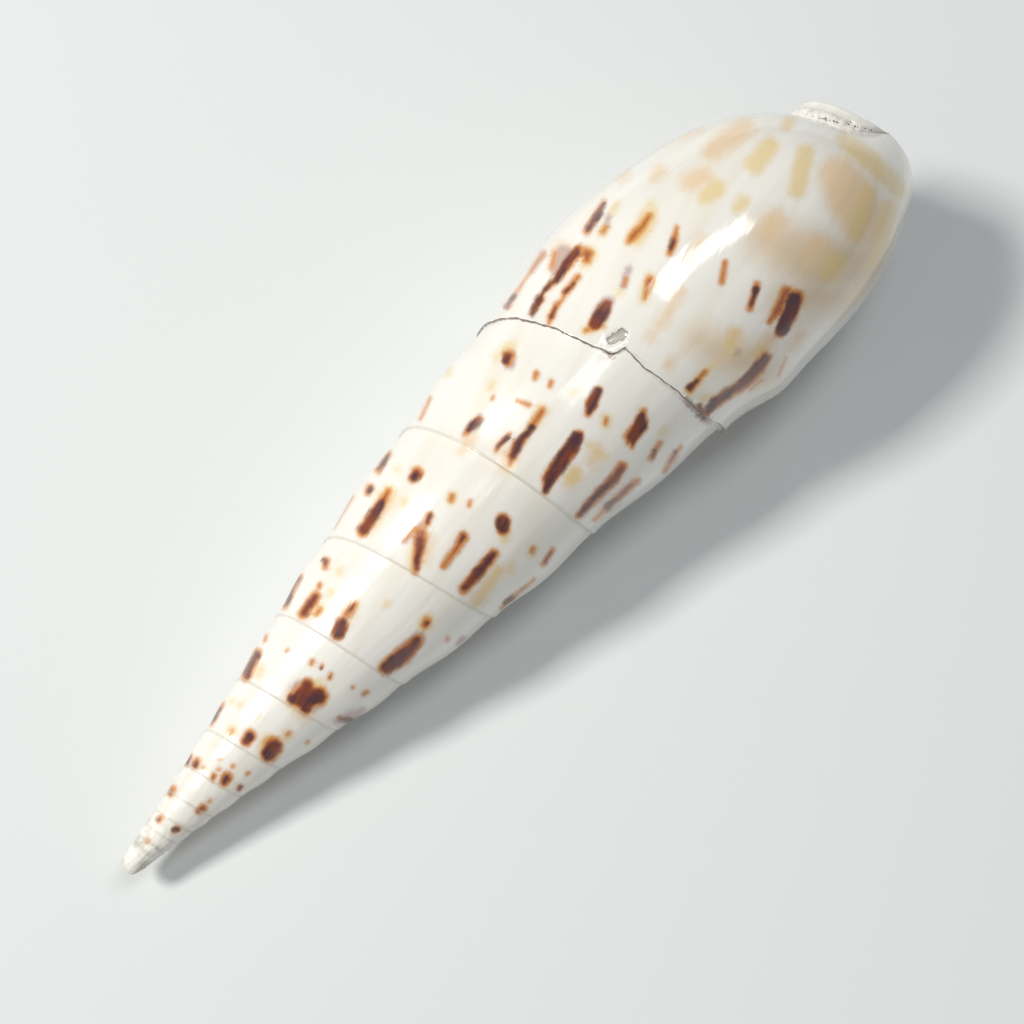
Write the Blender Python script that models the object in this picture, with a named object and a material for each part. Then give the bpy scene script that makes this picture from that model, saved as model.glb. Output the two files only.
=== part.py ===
"""A marlinspike shell: a long dextral sea shell, empty, lying with its aperture down.

Lengths are in metres and +Z is up. The shell grows along a spiral, so its surface is worked out
in the shell's own frame: +X runs from the apex to the siphonal end, and the angle about +X is
counted in turns from the +Y side over the back (+Z). Turn 0 is where the last whorl passes the
+Y side, earlier whorls have negative turns, and the lip of the aperture stands at LIP_TURN.
"""

import math

import bmesh
import bpy
import numpy as np
from mathutils import Matrix, Vector

MM = 0.001

# Mesh: columns along the growing edge, counted round the shell, and rows across them
STEPS_PER_TURN = 30
WHORL_STEPS = (0.0, 0.05, 0.22, 0.42, 0.62, 0.82, 0.975)
BASE_CELLS = 12
BASE_CROWDING = 1.15
END_CELLS = 4
NOTCH_CELLS = 4
CORNER_CELLS = 2
HOLLOW_RINGS = 32
TIP_SHARES = (0.6, 0.3, 0.1, 0.02)

# Whorls: height of the suture above the apex at whole turns, and how it goes on towards the apex
SUTURE_HEIGHTS_MM = ((-5, 25.3), (-4, 34.6), (-3, 46.7), (-2, 61.3), (-1, 83.3), (0, 105.1), (0.5, 123.0))
EARLY_WHORL_RATIO = 1.345
LIP_TURN = 0.5633
BESIDE_TURN = LIP_TURN - 1.0
SPIRE_TURNS = 10.6
FIRST_TURN = BESIDE_TURN - SPIRE_TURNS

# Outline: greatest radius that the whorls reach at a height above the apex
OUTLINE_MM = ((0, 1.5), (20, 5.2), (45, 10.6), (75, 16.1), (105, 19.6), (140, 25.2), (180, 33.4))
TIP_ROUNDING = 1.2 * MM

# Relief of a whorl, relative to its radius, at shares of the way from its suture to the next
SUTURE_STEP = 0.012
LAST_SUTURE_STEP = 0.040
STEP_FADE = 0.07
WHORL_SWELL = 0.030
LAST_SHOULDER = 0.045
SHOULDER_AT = 0.24
SHOULDER_WIDTH = 0.11
NEAR_LIP_TURNS = (0.1, 0.5)

# Last whorl: values that change from beside the aperture, over the +Y side and the back, to the lip
EXPOSED = 0.3
BASE_START = 0.13
UNCOVERED_TURNS = 0.35
BASE_SPAN_MM = ((BESIDE_TURN, 56.5), (0.0, 64.8), (0.25, 59.5), (0.5, 57.9))
BASE_ROUNDNESS = ((BESIDE_TURN, 2.0), (0.0, 1.78), (0.5, 1.52))
BASE_FULLNESS = ((BESIDE_TURN, 1.85), (0.0, 1.75), (0.5, 3.1))
RIM_RADIUS_MM = ((-0.9, 6.5), (BESIDE_TURN, 8.5), (0.0, 6.5), (0.25, 8.2), (0.5, 8.0))
RIM_DRAWN_FROM = 0.95

# Columella and fasciole, below the rim of the base
END_RADIUS_MM = ((-0.9, 2.8), (BESIDE_TURN, 3.8), (0.0, 6.4), (0.25, 6.9), (0.5, 7.6))
END_HEIGHT_MM = ((BESIDE_TURN, 172.6), (0.0, 173.0), (0.25, 175.2), (0.5, 181.4))
COLUMELLA_FILLET = 5.0 * MM
FASCIOLE_RIDGE = 0.5 * MM
RIDGE_AT = 1.5 * MM
RIDGE_WIDTH = 1.2 * MM
COLUMELLA_FOLD = 0.5 * MM
FOLD_AT = 9.0 * MM
FOLD_WIDTH = 2.0 * MM
FOLD_FADE_TURNS = 0.3

# Siphonal notch: how far it cuts the lip back, and between which places on the edge
NOTCH_TURNS = 0.13
NOTCH_START = 0.76
NOTCH_FULL = 1.04
NOTCH_FADE_TURNS = 0.5

# Aperture and the hollow behind it
WALL = 1.3 * MM
LIP_WALL_SHARE = 0.75
LIP_DEPTH = 0.1
CALLUS = 0.15 * MM
NARROWEST = 0.4 * MM
RIM_BLEND = (0.97, 1.03)
FIRST_DEPTH = 0.004
HOLLOW_TURNS = 1.15
CANAL_TURNS = 0.35
HOLLOW_END_V = (0.86, 0.95)
CANAL_END_V = (0.985, 1.3)
FLOOR_GAP = 0.2 * MM
SAMPLES = 600

# How the shell rests: its axis leaned, and rolled so that REST_TURN is down. Its underside is a
# little flat there, by a share of the radius for each whorl from the last back, so that it stands
# on the last whorl and on two places of the whorl before it
REST_LEAN = math.radians(-7.2)
REST_ROLL = math.radians(7.1)
REST_TURN = LIP_TURN - 5 / 6
REST_HALF_WIDTH = 1 / STEPS_PER_TURN
REST_FLATS = (0.015, 0.032, 0.024, 0.024, 0.024)


def natural_spline(points):
    """A smooth function through (x, y) points, straight beyond both ends."""
    x, y = (np.array(values, float) for values in zip(*points))
    width = np.diff(x)
    slope = np.diff(y) / width
    size = len(x)
    system = np.eye(size)
    target = np.zeros(size)
    for i in range(1, size - 1):
        system[i, i - 1 : i + 2] = width[i - 1], 2 * (width[i - 1] + width[i]), width[i]
        target[i] = 6 * (slope[i] - slope[i - 1])
    bend = np.linalg.solve(system, target)

    def value(at):
        at = np.asarray(at, float)
        inside = np.clip(at, x[0], x[-1])
        i = np.clip(np.searchsorted(x, inside) - 1, 0, size - 2)
        a = (x[i + 1] - inside) / width[i]
        b = 1 - a
        curved = a * y[i] + b * y[i + 1]
        curved = curved + ((a**3 - a) * bend[i] + (b**3 - b) * bend[i + 1]) * width[i] ** 2 / 6
        first = slope[0] - width[0] * bend[1] / 6
        last = slope[-1] + width[-1] * bend[-2] / 6
        return curved + np.where(at < x[0], first, last) * (at - inside)

    return value


def ramp(x, start, end):
    """Rises smoothly from 0 at start to 1 at end."""
    share = np.clip((x - start) / (end - start), 0, 1)
    return share * share * (3 - 2 * share)


def bump(x, middle, width):
    """A rounded hump of height 1."""
    return np.exp(-(((x - middle) / width) ** 2))


def log_suture_points():
    first_turn, first_height = SUTURE_HEIGHTS_MM[0]
    early = [
        (first_turn - back, math.log(first_height * MM / EARLY_WHORL_RATIO**back))
        for back in range(math.ceil(first_turn - FIRST_TURN), 0, -1)
    ]
    return early + [(turn, math.log(height * MM)) for turn, height in SUTURE_HEIGHTS_MM]


log_suture = natural_spline(log_suture_points())
outline = natural_spline([(height * MM, radius * MM) for height, radius in OUTLINE_MM])


def suture(turn):
    return np.exp(log_suture(turn))


TIP_HEIGHT = float(suture(FIRST_TURN + 1))


def spline_mm(points):
    return natural_spline([(turn, value * MM) for turn, value in points])


base_span = spline_mm(BASE_SPAN_MM)
roundness = natural_spline(BASE_ROUNDNESS)
fullness = natural_spline(BASE_FULLNESS)
rim_radius = spline_mm(RIM_RADIUS_MM)
end_radius = spline_mm(END_RADIUS_MM)
end_height = spline_mm(END_HEIGHT_MM)


def relief(turn, share):
    """Relative height of the whorl's own form: a step at its suture, a low swelling and, near
    the lip, a shoulder."""
    near_lip = ramp(turn, *NEAR_LIP_TURNS)
    step = SUTURE_STEP + (LAST_SUTURE_STEP - SUTURE_STEP) * near_lip
    shoulder = LAST_SHOULDER * near_lip * bump(share, SHOULDER_AT, SHOULDER_WIDTH)
    swell = (1 - np.cos(2 * np.pi * np.clip(share, 0, 1))) / 2
    return step * np.exp(-share / STEP_FADE) + WHORL_SWELL * (swell - 0.5) + shoulder


def rest_flat(turn):
    """Relative depth of the flat of the underside."""
    whorls_back = np.round(REST_TURN - turn).astype(int)
    depth = np.array(REST_FLATS)[np.clip(whorls_back, 0, len(REST_FLATS) - 1)]
    across = (turn - REST_TURN + whorls_back) / REST_HALF_WIDTH
    return depth * np.maximum(1 - across**2, 0)


def section(turn, v):
    """Radius and height of the growing edge: v runs 0 to EXPOSED down the whorl's upper part,
    on to 1 round the base to the rim of the fasciole, and on to 2 along the columella's end."""
    turn, v = np.broadcast_arrays(np.asarray(turn, float), np.asarray(v, float))
    held = np.maximum(turn, BESIDE_TURN)
    inner_held = np.maximum(turn, RIM_RADIUS_MM[0][0])
    scale = suture(np.minimum(turn, BESIDE_TURN)) / suture(BESIDE_TURN)
    start = np.maximum(suture(turn), TIP_HEIGHT)
    span = base_span(held) * scale
    free = ramp(turn - BESIDE_TURN, 0, UNCOVERED_TURNS)
    followed = np.minimum(turn, BESIDE_TURN)
    covered = suture(followed + 1) - np.maximum(suture(followed), TIP_HEIGHT)
    covered_share = covered / (base_span(BESIDE_TURN) * scale)
    flat_share = covered_share + (BASE_START - covered_share) * free
    rim = rim_radius(inner_held) * scale
    power_h, power_r = 2 / roundness(held), 2 / fullness(held)
    rim_angle = np.arccos((rim / outline(start + RIM_DRAWN_FROM * span)) ** (1 / power_r))

    upper = np.clip(v / EXPOSED, 0, 1)
    angle = rim_angle * np.clip((v - EXPOSED) / (1 - EXPOSED), 0, 1)
    share = flat_share * upper + (1 - flat_share) * np.sin(angle) ** power_h
    height = start + span * share
    whorl_share = (height - suture(turn)) / (suture(turn + 1) - suture(turn))
    form = 1 + relief(turn, whorl_share) - rest_flat(turn)
    radius = outline(height) * form * np.cos(angle) ** power_r

    rim_height = height
    down = np.clip(v - 1, 0, 1)
    height = rim_height + (end_height(held) - rim_height) * down
    below = height - rim_height
    pillar = end_radius(inner_held) * scale
    column = pillar + (radius - pillar) * np.exp(-below / COLUMELLA_FILLET)
    ridge = FASCIOLE_RIDGE * bump(below, RIDGE_AT, RIDGE_WIDTH)
    fold = COLUMELLA_FOLD * bump(below, FOLD_AT, FOLD_WIDTH) * ramp(-turn, 0, FOLD_FADE_TURNS)
    return np.where(v > 1, column + ridge + fold, radius), height


def place(turn, radius, height):
    """Points in the shell's own frame."""
    turn, radius, height = np.broadcast_arrays(turn, radius, height)
    angle = 2 * np.pi * turn
    return np.stack([height, radius * np.cos(angle), radius * np.sin(angle)], axis=-1)


def notch(v):
    """How far the lip is cut back, in turns, where the siphonal notch opens its end."""
    return NOTCH_TURNS * ramp(v, NOTCH_START, NOTCH_FULL)


def last_whorl_steps():
    whorl = [EXPOSED * share for share in WHORL_STEPS]
    base = 1 - (1 - EXPOSED) * np.linspace(1, 0, BASE_CELLS + 1) ** BASE_CROWDING
    end = np.linspace(1, 2, END_CELLS + 1)[1:]
    return np.concatenate([whorl, base, end])


def inner_side_of_wall(turn, v, wall):
    """Radius and height of the wall's inner side: square to the wall, and radial past the rim."""
    radius, height = section(turn, v)
    near_radius, near_height = section(turn, v + 1 / SAMPLES)
    along = np.stack([near_radius - radius, near_height - height])
    along = along / np.linalg.norm(along, axis=0)
    past_rim = np.interp(v, RIM_BLEND, (0, 1))
    across = (1 - past_rim) * np.stack([along[1], -along[0]]) + past_rim * np.array([[1.0], [0.0]])
    across = across / np.linalg.norm(across, axis=0)
    return radius - wall * across[0], height - wall * across[1]


def sill_points(first, last):
    """Points between two ends, each given as turn, radius and height, along the notch's edge."""
    across = np.linspace(0, 1, NOTCH_CELLS + 1)[1:-1, None]
    turn, radius, height = (np.array(first) * (1 - across) + np.array(last) * across).T
    return place(turn, radius, height)


def hollow_ring(depth, steps):
    """One ring of the hollow, `depth` turns behind the lip: its corner at the suture, its outer
    side, its floor and its inner side on the whorl before."""
    turn = LIP_TURN - depth
    scale = float(suture(min(turn, BESIDE_TURN)) / suture(BESIDE_TURN))
    wall = WALL * scale * (LIP_WALL_SHARE + (1 - LIP_WALL_SHARE) * ramp(depth, 0, LIP_DEPTH))
    canal = float(ramp(turn, 0, CANAL_TURNS))

    inner_v = np.linspace(EXPOSED, 2, SAMPLES)
    inner_radius, inner_height = section(turn - 1, inner_v)
    inner_radius = inner_radius + CALLUS
    trial = np.linspace(0, 1, SAMPLES)
    radius, height = inner_side_of_wall(turn, trial, wall)
    gap = radius - np.interp(height, inner_height, inner_radius)
    first_v = trial[np.argmax(gap > NARROWEST)]
    at_first = trial == first_v
    corner = place(turn, radius[at_first] - NARROWEST, height[at_first])

    outer_steps = steps[len(WHORL_STEPS) + 1 :]
    end_v = [deep + (near - deep) * canal for deep, near in zip(HOLLOW_END_V, CANAL_END_V)]
    v = np.interp(outer_steps, (EXPOSED, 1, 2), (first_v, *end_v))
    shift = notch(outer_steps) * max(0.0, 1 - depth / NOTCH_FADE_TURNS)
    radius, height = inner_side_of_wall(turn - shift, v, wall)
    outer = place(turn - shift, radius, height)

    low = min(height[-1], float(inner_height[-1]) - FLOOR_GAP)
    bounds = np.interp((corner[0][0], low), inner_height, inner_v)
    inner_steps = steps[len(WHORL_STEPS) + CORNER_CELLS :]
    inner_at_v = np.interp(inner_steps, (inner_steps[0], 1, 2), (bounds[0], 1, bounds[1]))[1:]
    inner_at = np.interp(inner_at_v, inner_v, inner_height)
    inner_at_radius = np.interp(inner_at_v, inner_v, inner_radius)
    inner = place(turn, inner_at_radius, inner_at)

    floor = sill_points(
        (turn - shift[-1], radius[-1], height[-1]), (turn, inner_at_radius[-1], inner_at[-1])
    )
    return np.concatenate([corner, outer, floor, inner[::-1]])


class ShellMesh:
    """Collects points and quads, then makes one mesh."""

    def __init__(self):
        self.mesh = bmesh.new()

    def points(self, rows):
        return [self.mesh.verts.new(row) for row in rows]

    def strip(self, first, second):
        """Faces between two rows with as many points."""
        for i in range(len(first) - 1):
            corners = dict.fromkeys((first[i], second[i], second[i + 1], first[i + 1]))
            if len(corners) > 2:
                self.mesh.faces.new(list(corners))

    def fan(self, centre, ring):
        tip = self.mesh.verts.new(centre)
        for i, point in enumerate(ring):
            self.mesh.faces.new((tip, point, ring[(i + 1) % len(ring)]))

    def finish(self, name, matrix):
        bmesh.ops.recalc_face_normals(self.mesh, faces=self.mesh.faces)
        if self.mesh.calc_volume(signed=True) < 0:
            bmesh.ops.reverse_faces(self.mesh, faces=self.mesh.faces)
        self.mesh.transform(matrix)
        data = bpy.data.meshes.new(name)
        self.mesh.to_mesh(data)
        self.mesh.free()
        return data


def rest_matrix():
    """Turns the shell's own frame to the way it lies: rolled about its axis, then leaned."""
    return Matrix.Rotation(REST_LEAN, 4, "Y") @ Matrix.Rotation(REST_ROLL, 4, "X")


def build_shell():
    shell = ShellMesh()
    whorl_steps = np.array(WHORL_STEPS)
    spire_columns = round(SPIRE_TURNS * STEPS_PER_TURN)

    columns = [[]]
    for i in range(1, spire_columns):
        turn = FIRST_TURN + i / STEPS_PER_TURN
        radius, height = section(turn, EXPOSED * whorl_steps)
        columns.append(shell.points(place(turn, radius, height)))

    steps = last_whorl_steps()
    for i in range(STEPS_PER_TURN + 1):
        grown = i / STEPS_PER_TURN
        turn = BESIDE_TURN + grown * (1 - notch(steps))
        radius, height = section(turn, steps)
        columns.append(shell.points(place(turn, radius, height)))
    lip = columns[-1]
    junction = len(WHORL_STEPS)
    bmesh.ops.delete(shell.mesh, geom=[columns[spire_columns][junction]], context="VERTS")
    columns[spire_columns][junction] = lip[0]

    # The first whorl opens out of one point of the tip's edge
    columns[0] = [columns[STEPS_PER_TURN][0]] * len(whorl_steps)

    # A spire whorl ends on the suture of the whorl that follows it a turn later
    for i in range(spire_columns):
        here = columns[i] + [columns[i + STEPS_PER_TURN][0]]
        following = columns[i + 1][: len(whorl_steps)] + [columns[i + 1 + STEPS_PER_TURN][0]]
        shell.strip(here, following)
    for i in range(spire_columns, len(columns) - 1):
        shell.strip(columns[i], columns[i + 1])

    # The worn tip, rounded over in rings that shrink to a point
    ring = [column[0] for column in columns[1 : STEPS_PER_TURN + 1]]
    turns = FIRST_TURN + np.arange(1, STEPS_PER_TURN + 1) / STEPS_PER_TURN
    for height in TIP_HEIGHT * np.array(TIP_SHARES):
        rounding = math.sqrt(1 - max(0.0, 1 - height / TIP_ROUNDING) ** 2)
        following = shell.points(place(turns, float(outline(height)) * rounding, height))
        shell.strip(ring + ring[:1], following + following[:1])
        ring = following
    shell.fan((0.0, 0.0, 0.0), ring)

    # The lip's edge, the hollow behind it and its closed inner end
    beside = columns[spire_columns]
    lip_end, column_end = (section(turn, 2.0) for turn in (LIP_TURN - NOTCH_TURNS, BESIDE_TURN))
    sill = shell.points(sill_points((LIP_TURN - NOTCH_TURNS, *lip_end), (LIP_TURN, *column_end)))
    side_start = junction + CORNER_CELLS
    rings = [lip[junction:] + sill + beside[: side_start - 1 : -1]]
    for depth in FIRST_DEPTH + HOLLOW_TURNS * np.linspace(0, 1, HOLLOW_RINGS):
        ring = shell.points(hollow_ring(depth, steps))
        rings.append(ring + ring[:1])
    for outer_ring, inner_ring in zip(rings, rings[1:]):
        shell.strip(outer_ring, inner_ring)
    # The solid corner of the aperture, at the suture
    corner = rings[1][0]
    border = beside[side_start:junction:-1] + lip[: junction + 1]
    for first, second in zip(border, border[1:]):
        shell.mesh.faces.new((corner, first, second))

    end = rings[-1][:-1]
    centre = sum((point.co for point in end), Vector()) / len(end)
    shell.fan(centre, end)

    # The end of the columella and the fasciole
    margin = [column[-1] for column in columns[spire_columns:]]
    shell.fan((float(end_height(0.0)), 0.0, 0.0), margin + sill)
    return shell.finish("shell", rest_matrix())


def shell_material():
    material = bpy.data.materials.new("aragonite shell")
    material.use_nodes = True
    surface = material.node_tree.nodes["Principled BSDF"]
    surface.inputs["Base Color"].default_value = (0.86, 0.80, 0.70, 1.0)
    surface.inputs["Roughness"].default_value = 0.2
    surface.inputs["Metallic"].default_value = 0.0
    return material


def main():
    for obj in list(bpy.data.objects):
        bpy.data.objects.remove(obj)
    parts = bpy.data.collections.new("marlinspike shell")
    bpy.context.scene.collection.children.link(parts)
    mesh = build_shell()
    low = [min(vertex.co[axis] for vertex in mesh.vertices) for axis in range(3)]
    high = [max(vertex.co[axis] for vertex in mesh.vertices) for axis in range(3)]
    mesh.shade_smooth()
    mesh.materials.append(shell_material())
    shell = bpy.data.objects.new("shell", mesh)
    shell.location = (-(low[0] + high[0]) / 2, -(low[1] + high[1]) / 2, -low[2])
    parts.objects.link(shell)


main()
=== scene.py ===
"""The looks of a marlinspike shell that lies, aperture down, on a pale table.

The shell is grown again from the growth rules of its solid, in finer steps, and gets its sutures,
growth marks, chips, pits and worn tip. Its colour markings are strokes: on the side that the
photograph shows, their places were read in the photograph's pixels, and on the other side
they are laid by the shell's own habit of rows above and below each suture.
"""

from __future__ import annotations

import logging
import math
from dataclasses import dataclass
from enum import Enum
from functools import cached_property
from typing import Any

import bmesh
import bpy
import numpy as np
from mathutils import Matrix, Vector, noise


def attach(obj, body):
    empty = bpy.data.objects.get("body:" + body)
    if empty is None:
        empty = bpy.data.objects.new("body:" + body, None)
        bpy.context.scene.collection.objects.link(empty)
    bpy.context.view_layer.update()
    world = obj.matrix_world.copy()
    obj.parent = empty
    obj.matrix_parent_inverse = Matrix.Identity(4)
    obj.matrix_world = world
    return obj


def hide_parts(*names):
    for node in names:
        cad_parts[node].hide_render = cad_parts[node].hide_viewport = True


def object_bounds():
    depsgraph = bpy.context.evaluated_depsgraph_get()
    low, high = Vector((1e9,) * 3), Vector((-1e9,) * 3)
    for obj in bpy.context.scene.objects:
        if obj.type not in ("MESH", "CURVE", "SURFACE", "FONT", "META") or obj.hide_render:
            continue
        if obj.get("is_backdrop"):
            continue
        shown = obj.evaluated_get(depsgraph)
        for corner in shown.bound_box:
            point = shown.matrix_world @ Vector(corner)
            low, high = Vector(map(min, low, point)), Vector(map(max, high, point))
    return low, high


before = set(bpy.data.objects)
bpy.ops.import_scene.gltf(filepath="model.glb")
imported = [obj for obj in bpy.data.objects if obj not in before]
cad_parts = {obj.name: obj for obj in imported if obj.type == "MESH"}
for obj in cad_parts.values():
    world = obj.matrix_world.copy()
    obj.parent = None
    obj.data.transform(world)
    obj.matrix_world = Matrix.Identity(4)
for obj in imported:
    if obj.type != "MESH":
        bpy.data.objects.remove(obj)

LOG = logging.getLogger("marlinspike")
MM = 0.001

Array = np.ndarray
Points = tuple[tuple[float, ...], ...]
Pair = tuple[float, float]
Triple = tuple[float, float, float]
Numbers = tuple[float, ...]

# A turn so short, and a distance so long, that they stand for none and for far away
NO_TURN = 1e-9
FAR = 1.0


def linear(hex_colour: str) -> tuple[float, float, float, float]:
    """Turns an sRGB hex colour to the linear values that Blender takes.

    Args:
        hex_colour: six hexadecimal digits.

    Returns:
        Red, green, blue and an opaque alpha.
    """
    channels = [int(hex_colour[i : i + 2], 16) / 255 for i in (0, 2, 4)]
    red, green, blue = (
        c / 12.92 if c <= 0.04045 else ((c + 0.055) / 1.055) ** 2.4 for c in channels
    )
    return red, green, blue, 1.0


def put(name: str, data: bpy.types.ID) -> bpy.types.Object:
    """Puts an object with the given data in the scene."""
    made = bpy.data.objects.new(name, data)
    bpy.context.scene.collection.objects.link(made)
    return made


def ramp(x: Array, start: float, end: float) -> Array:
    """Rises smoothly from 0 at start to 1 at end.

    Args:
        x: where to read it.
        start: the last place where it is 0.
        end: the first place where it is 1.

    Returns:
        The height at each x.
    """
    share = np.clip((x - start) / (end - start), 0, 1)
    return share * share * (3 - 2 * share)


def bump(x: Array, middle: float, width: float) -> Array:
    """Gives a rounded hump of height 1 around middle."""
    return np.exp(-(((x - middle) / width) ** 2))


class Spline:
    """A natural cubic spline, straight beyond both of its ends."""

    def __init__(self, points: Points) -> None:
        """Works out the spline's bend at each point.

        Args:
            points: (x, y) pairs in rising order of x.
        """
        self.x, self.y = (np.array(values, float) for values in zip(*points))
        self.width = np.diff(self.x)
        self.slope = np.diff(self.y) / self.width
        size = len(self.x)
        system, target = np.eye(size), np.zeros(size)
        for i in range(1, size - 1):
            before, after = self.width[i - 1], self.width[i]
            system[i, i - 1 : i + 2] = before, 2 * (before + after), after
            target[i] = 6 * (self.slope[i] - self.slope[i - 1])
        self.bend = np.linalg.solve(system, target)

    def __call__(self, at: Array | float) -> Array:
        """Reads the spline.

        Args:
            at: one or many places along x.

        Returns:
            The spline's value at each place.
        """
        at = np.asarray(at, float)
        inside = np.clip(at, self.x[0], self.x[-1])
        i = np.clip(np.searchsorted(self.x, inside) - 1, 0, len(self.x) - 2)
        width = self.width[i]
        a = (self.x[i + 1] - inside) / width
        b = 1 - a
        curved = (a**3 - a) * self.bend[i] + (b**3 - b) * self.bend[i + 1]
        value = a * self.y[i] + b * self.y[i + 1] + curved * width**2 / 6
        first = self.slope[0] - self.width[0] * self.bend[1] / 6
        last = self.slope[-1] + self.width[-1] * self.bend[-2] / 6
        return value + np.where(at < self.x[0], first, last) * (at - inside)


@dataclass
class ShellForm:
    """The growth rules of the shell, the same as its solid's, in metres and turns.

    The shell's own frame has +X from the apex to the siphonal end, and counts the angle about
    +X in turns from the +Y side over the back (+Z). Turn 0 is where the last whorl passes the
    +Y side, and the lip of the aperture stands at lip_turn. A place on the growing edge is 0 at
    the suture, 1 at the rim of the fasciole and 2 at the end of the columella.

    Attributes:
        suture_heights_mm: turn and height above the apex of the suture.
        early_whorl_ratio: how much higher each suture of the tip stands than the one before.
        spire_turns: turns from the first whorl to the column beside the aperture.
        suture_step, last_suture_step: how far a whorl stands out at its suture, relative to the
            radius, and the same close to the lip.
        step_fade: the share of a whorl's height over which that fades.
        whorl_swell: how far the middle of a whorl swells, relative to the radius.
        seen_step, seen_swell: how much more of both there is away from the line of rest.
        last_shoulder: height of the shoulder close to the lip, relative to the radius.
        shoulder_at, shoulder_width: its place and width, as shares of the whorl's height.
        near_lip_turns: where the last step and the shoulder begin and where they are whole.
        exposed: the place on the growing edge where the base begins.
        base_start: the share of the last whorl's height above its base.
        uncovered_turns: how soon the last whorl reaches that share.
        base_span_mm: from suture to rim: beside the aperture and at turns 0, 1/4 and 1/2.
        base_roundness: of the base along the axis: beside the aperture, at turns 0 and 1/2.
        base_fullness: of the base across the axis, at the same turns.
        rim_radius_mm, end_radius_mm: of the fasciole's rim and the columella's end, by turn.
        rim_drawn_from: the share of the span where the outline is read for the rim.
        end_height_mm: height of the siphonal end, at the turns of base_span_mm.
        columella_fillet: the length over which the rim passes into the columella.
        fasciole_ridge, columella_fold: height, place and width.
        fold_fade_turns: how far inside the aperture the fold is whole.
        notch_turns: how far the siphonal notch cuts the lip back.
        notch_span: where it starts on the growing edge and where it is whole.
        rest_lean, rest_roll: how the axis leans and the shell is rolled when it rests.
        rest_behind_lip: how far behind the lip it rests, in turns.
        rest_flats: relative depth of the flat, from the last whorl back to the tip.
        ripples: of the last suture: waves to a turn in radians, height and start of each.
        ripple_turns: where they begin and where they are whole.
        suture_wander_mm: turn, height and width of the suture's slow wanderings.
        suture_break: where the suture steps aside, broken.
        break_reach: the share of a whorl that the break draws along.
        filled: how much higher the rim stands beside the notch, where it is filled up.
        filled_v, filled_turns: the places and the turns where that begins and is whole.
    """

    suture_heights_mm: Points = (
        (-5, 25.3), (-4, 34.6), (-3, 46.7), (-2, 61.3), (-1, 83.3), (0, 105.1), (0.5, 123.0),
    )
    early_whorl_ratio: float = 1.345
    lip_turn: float = 0.5633
    spire_turns: float = 10.6
    outline_mm: Points = (
        (0, 1.5), (20, 5.2), (45, 10.6), (75, 16.1), (105, 19.6), (140, 25.2), (180, 33.4),
    )
    tip_rounding: float = 1.2 * MM
    suture_step: float = 0.012
    last_suture_step: float = 0.040
    step_fade: float = 0.07
    whorl_swell: float = 0.030
    seen_step: float = 0.011
    seen_swell: float = 0.014
    last_shoulder: float = 0.045
    shoulder_at: float = 0.24
    shoulder_width: float = 0.11
    near_lip_turns: Pair = (0.1, 0.5)
    exposed: float = 0.3
    base_start: float = 0.13
    uncovered_turns: float = 0.35
    base_span_mm: Numbers = (56.5, 64.8, 59.5, 57.9)
    base_roundness: Numbers = (2.0, 1.78, 1.52)
    base_fullness: Numbers = (1.85, 1.75, 3.1)
    rim_radius_mm: Points = ((-0.9, 6.5), (-0.4367, 8.5), (0.0, 6.5), (0.25, 8.2), (0.5, 8.0))
    rim_drawn_from: float = 0.95
    end_radius_mm: Points = ((-0.9, 2.8), (-0.4367, 3.8), (0.0, 6.4), (0.25, 6.9), (0.5, 7.6))
    end_height_mm: Numbers = (172.6, 173.0, 175.2, 180.4)
    columella_fillet: float = 5.0 * MM
    fasciole_ridge: Triple = (0.5 * MM, 1.5 * MM, 1.2 * MM)
    columella_fold: Triple = (0.5 * MM, 9.0 * MM, 2.0 * MM)
    fold_fade_turns: float = 0.3
    notch_turns: float = 0.13
    notch_span: Pair = (0.76, 1.04)
    rest_lean: float = math.radians(-7.2)
    rest_roll: float = math.radians(7.1)
    rest_behind_lip: float = 5 / 6
    rest_half_width: float = 1 / 30
    rest_flats: Numbers = (0.015, 0.032, 0.024, 0.024, 0.024)
    apex_place_mm: Triple = (-88.8937, 1.5503, 6.4089)
    suture_ripple: float = 0.09 * MM
    ripples: Points = ((82, 1.0, 0), (187, 0.7, 1), (401, 0.4, 2))
    ripple_turns: Pair = (-0.4, 0.0)
    suture_wander_mm: Points = ((0.4, -0.95, 0.03), (0.53, -2.2, 0.06), (0.12, 0.25, 0.05))
    suture_break: Pair = (0.249, 0.254)
    break_height: float = 2.4 * MM
    break_fade: float = 0.042
    break_reach: float = 0.3
    filled: float = 1.3 * MM
    filled_v: Pair = (0.78, 1.0)
    filled_turns: Pair = (0.27, 0.42)

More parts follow.
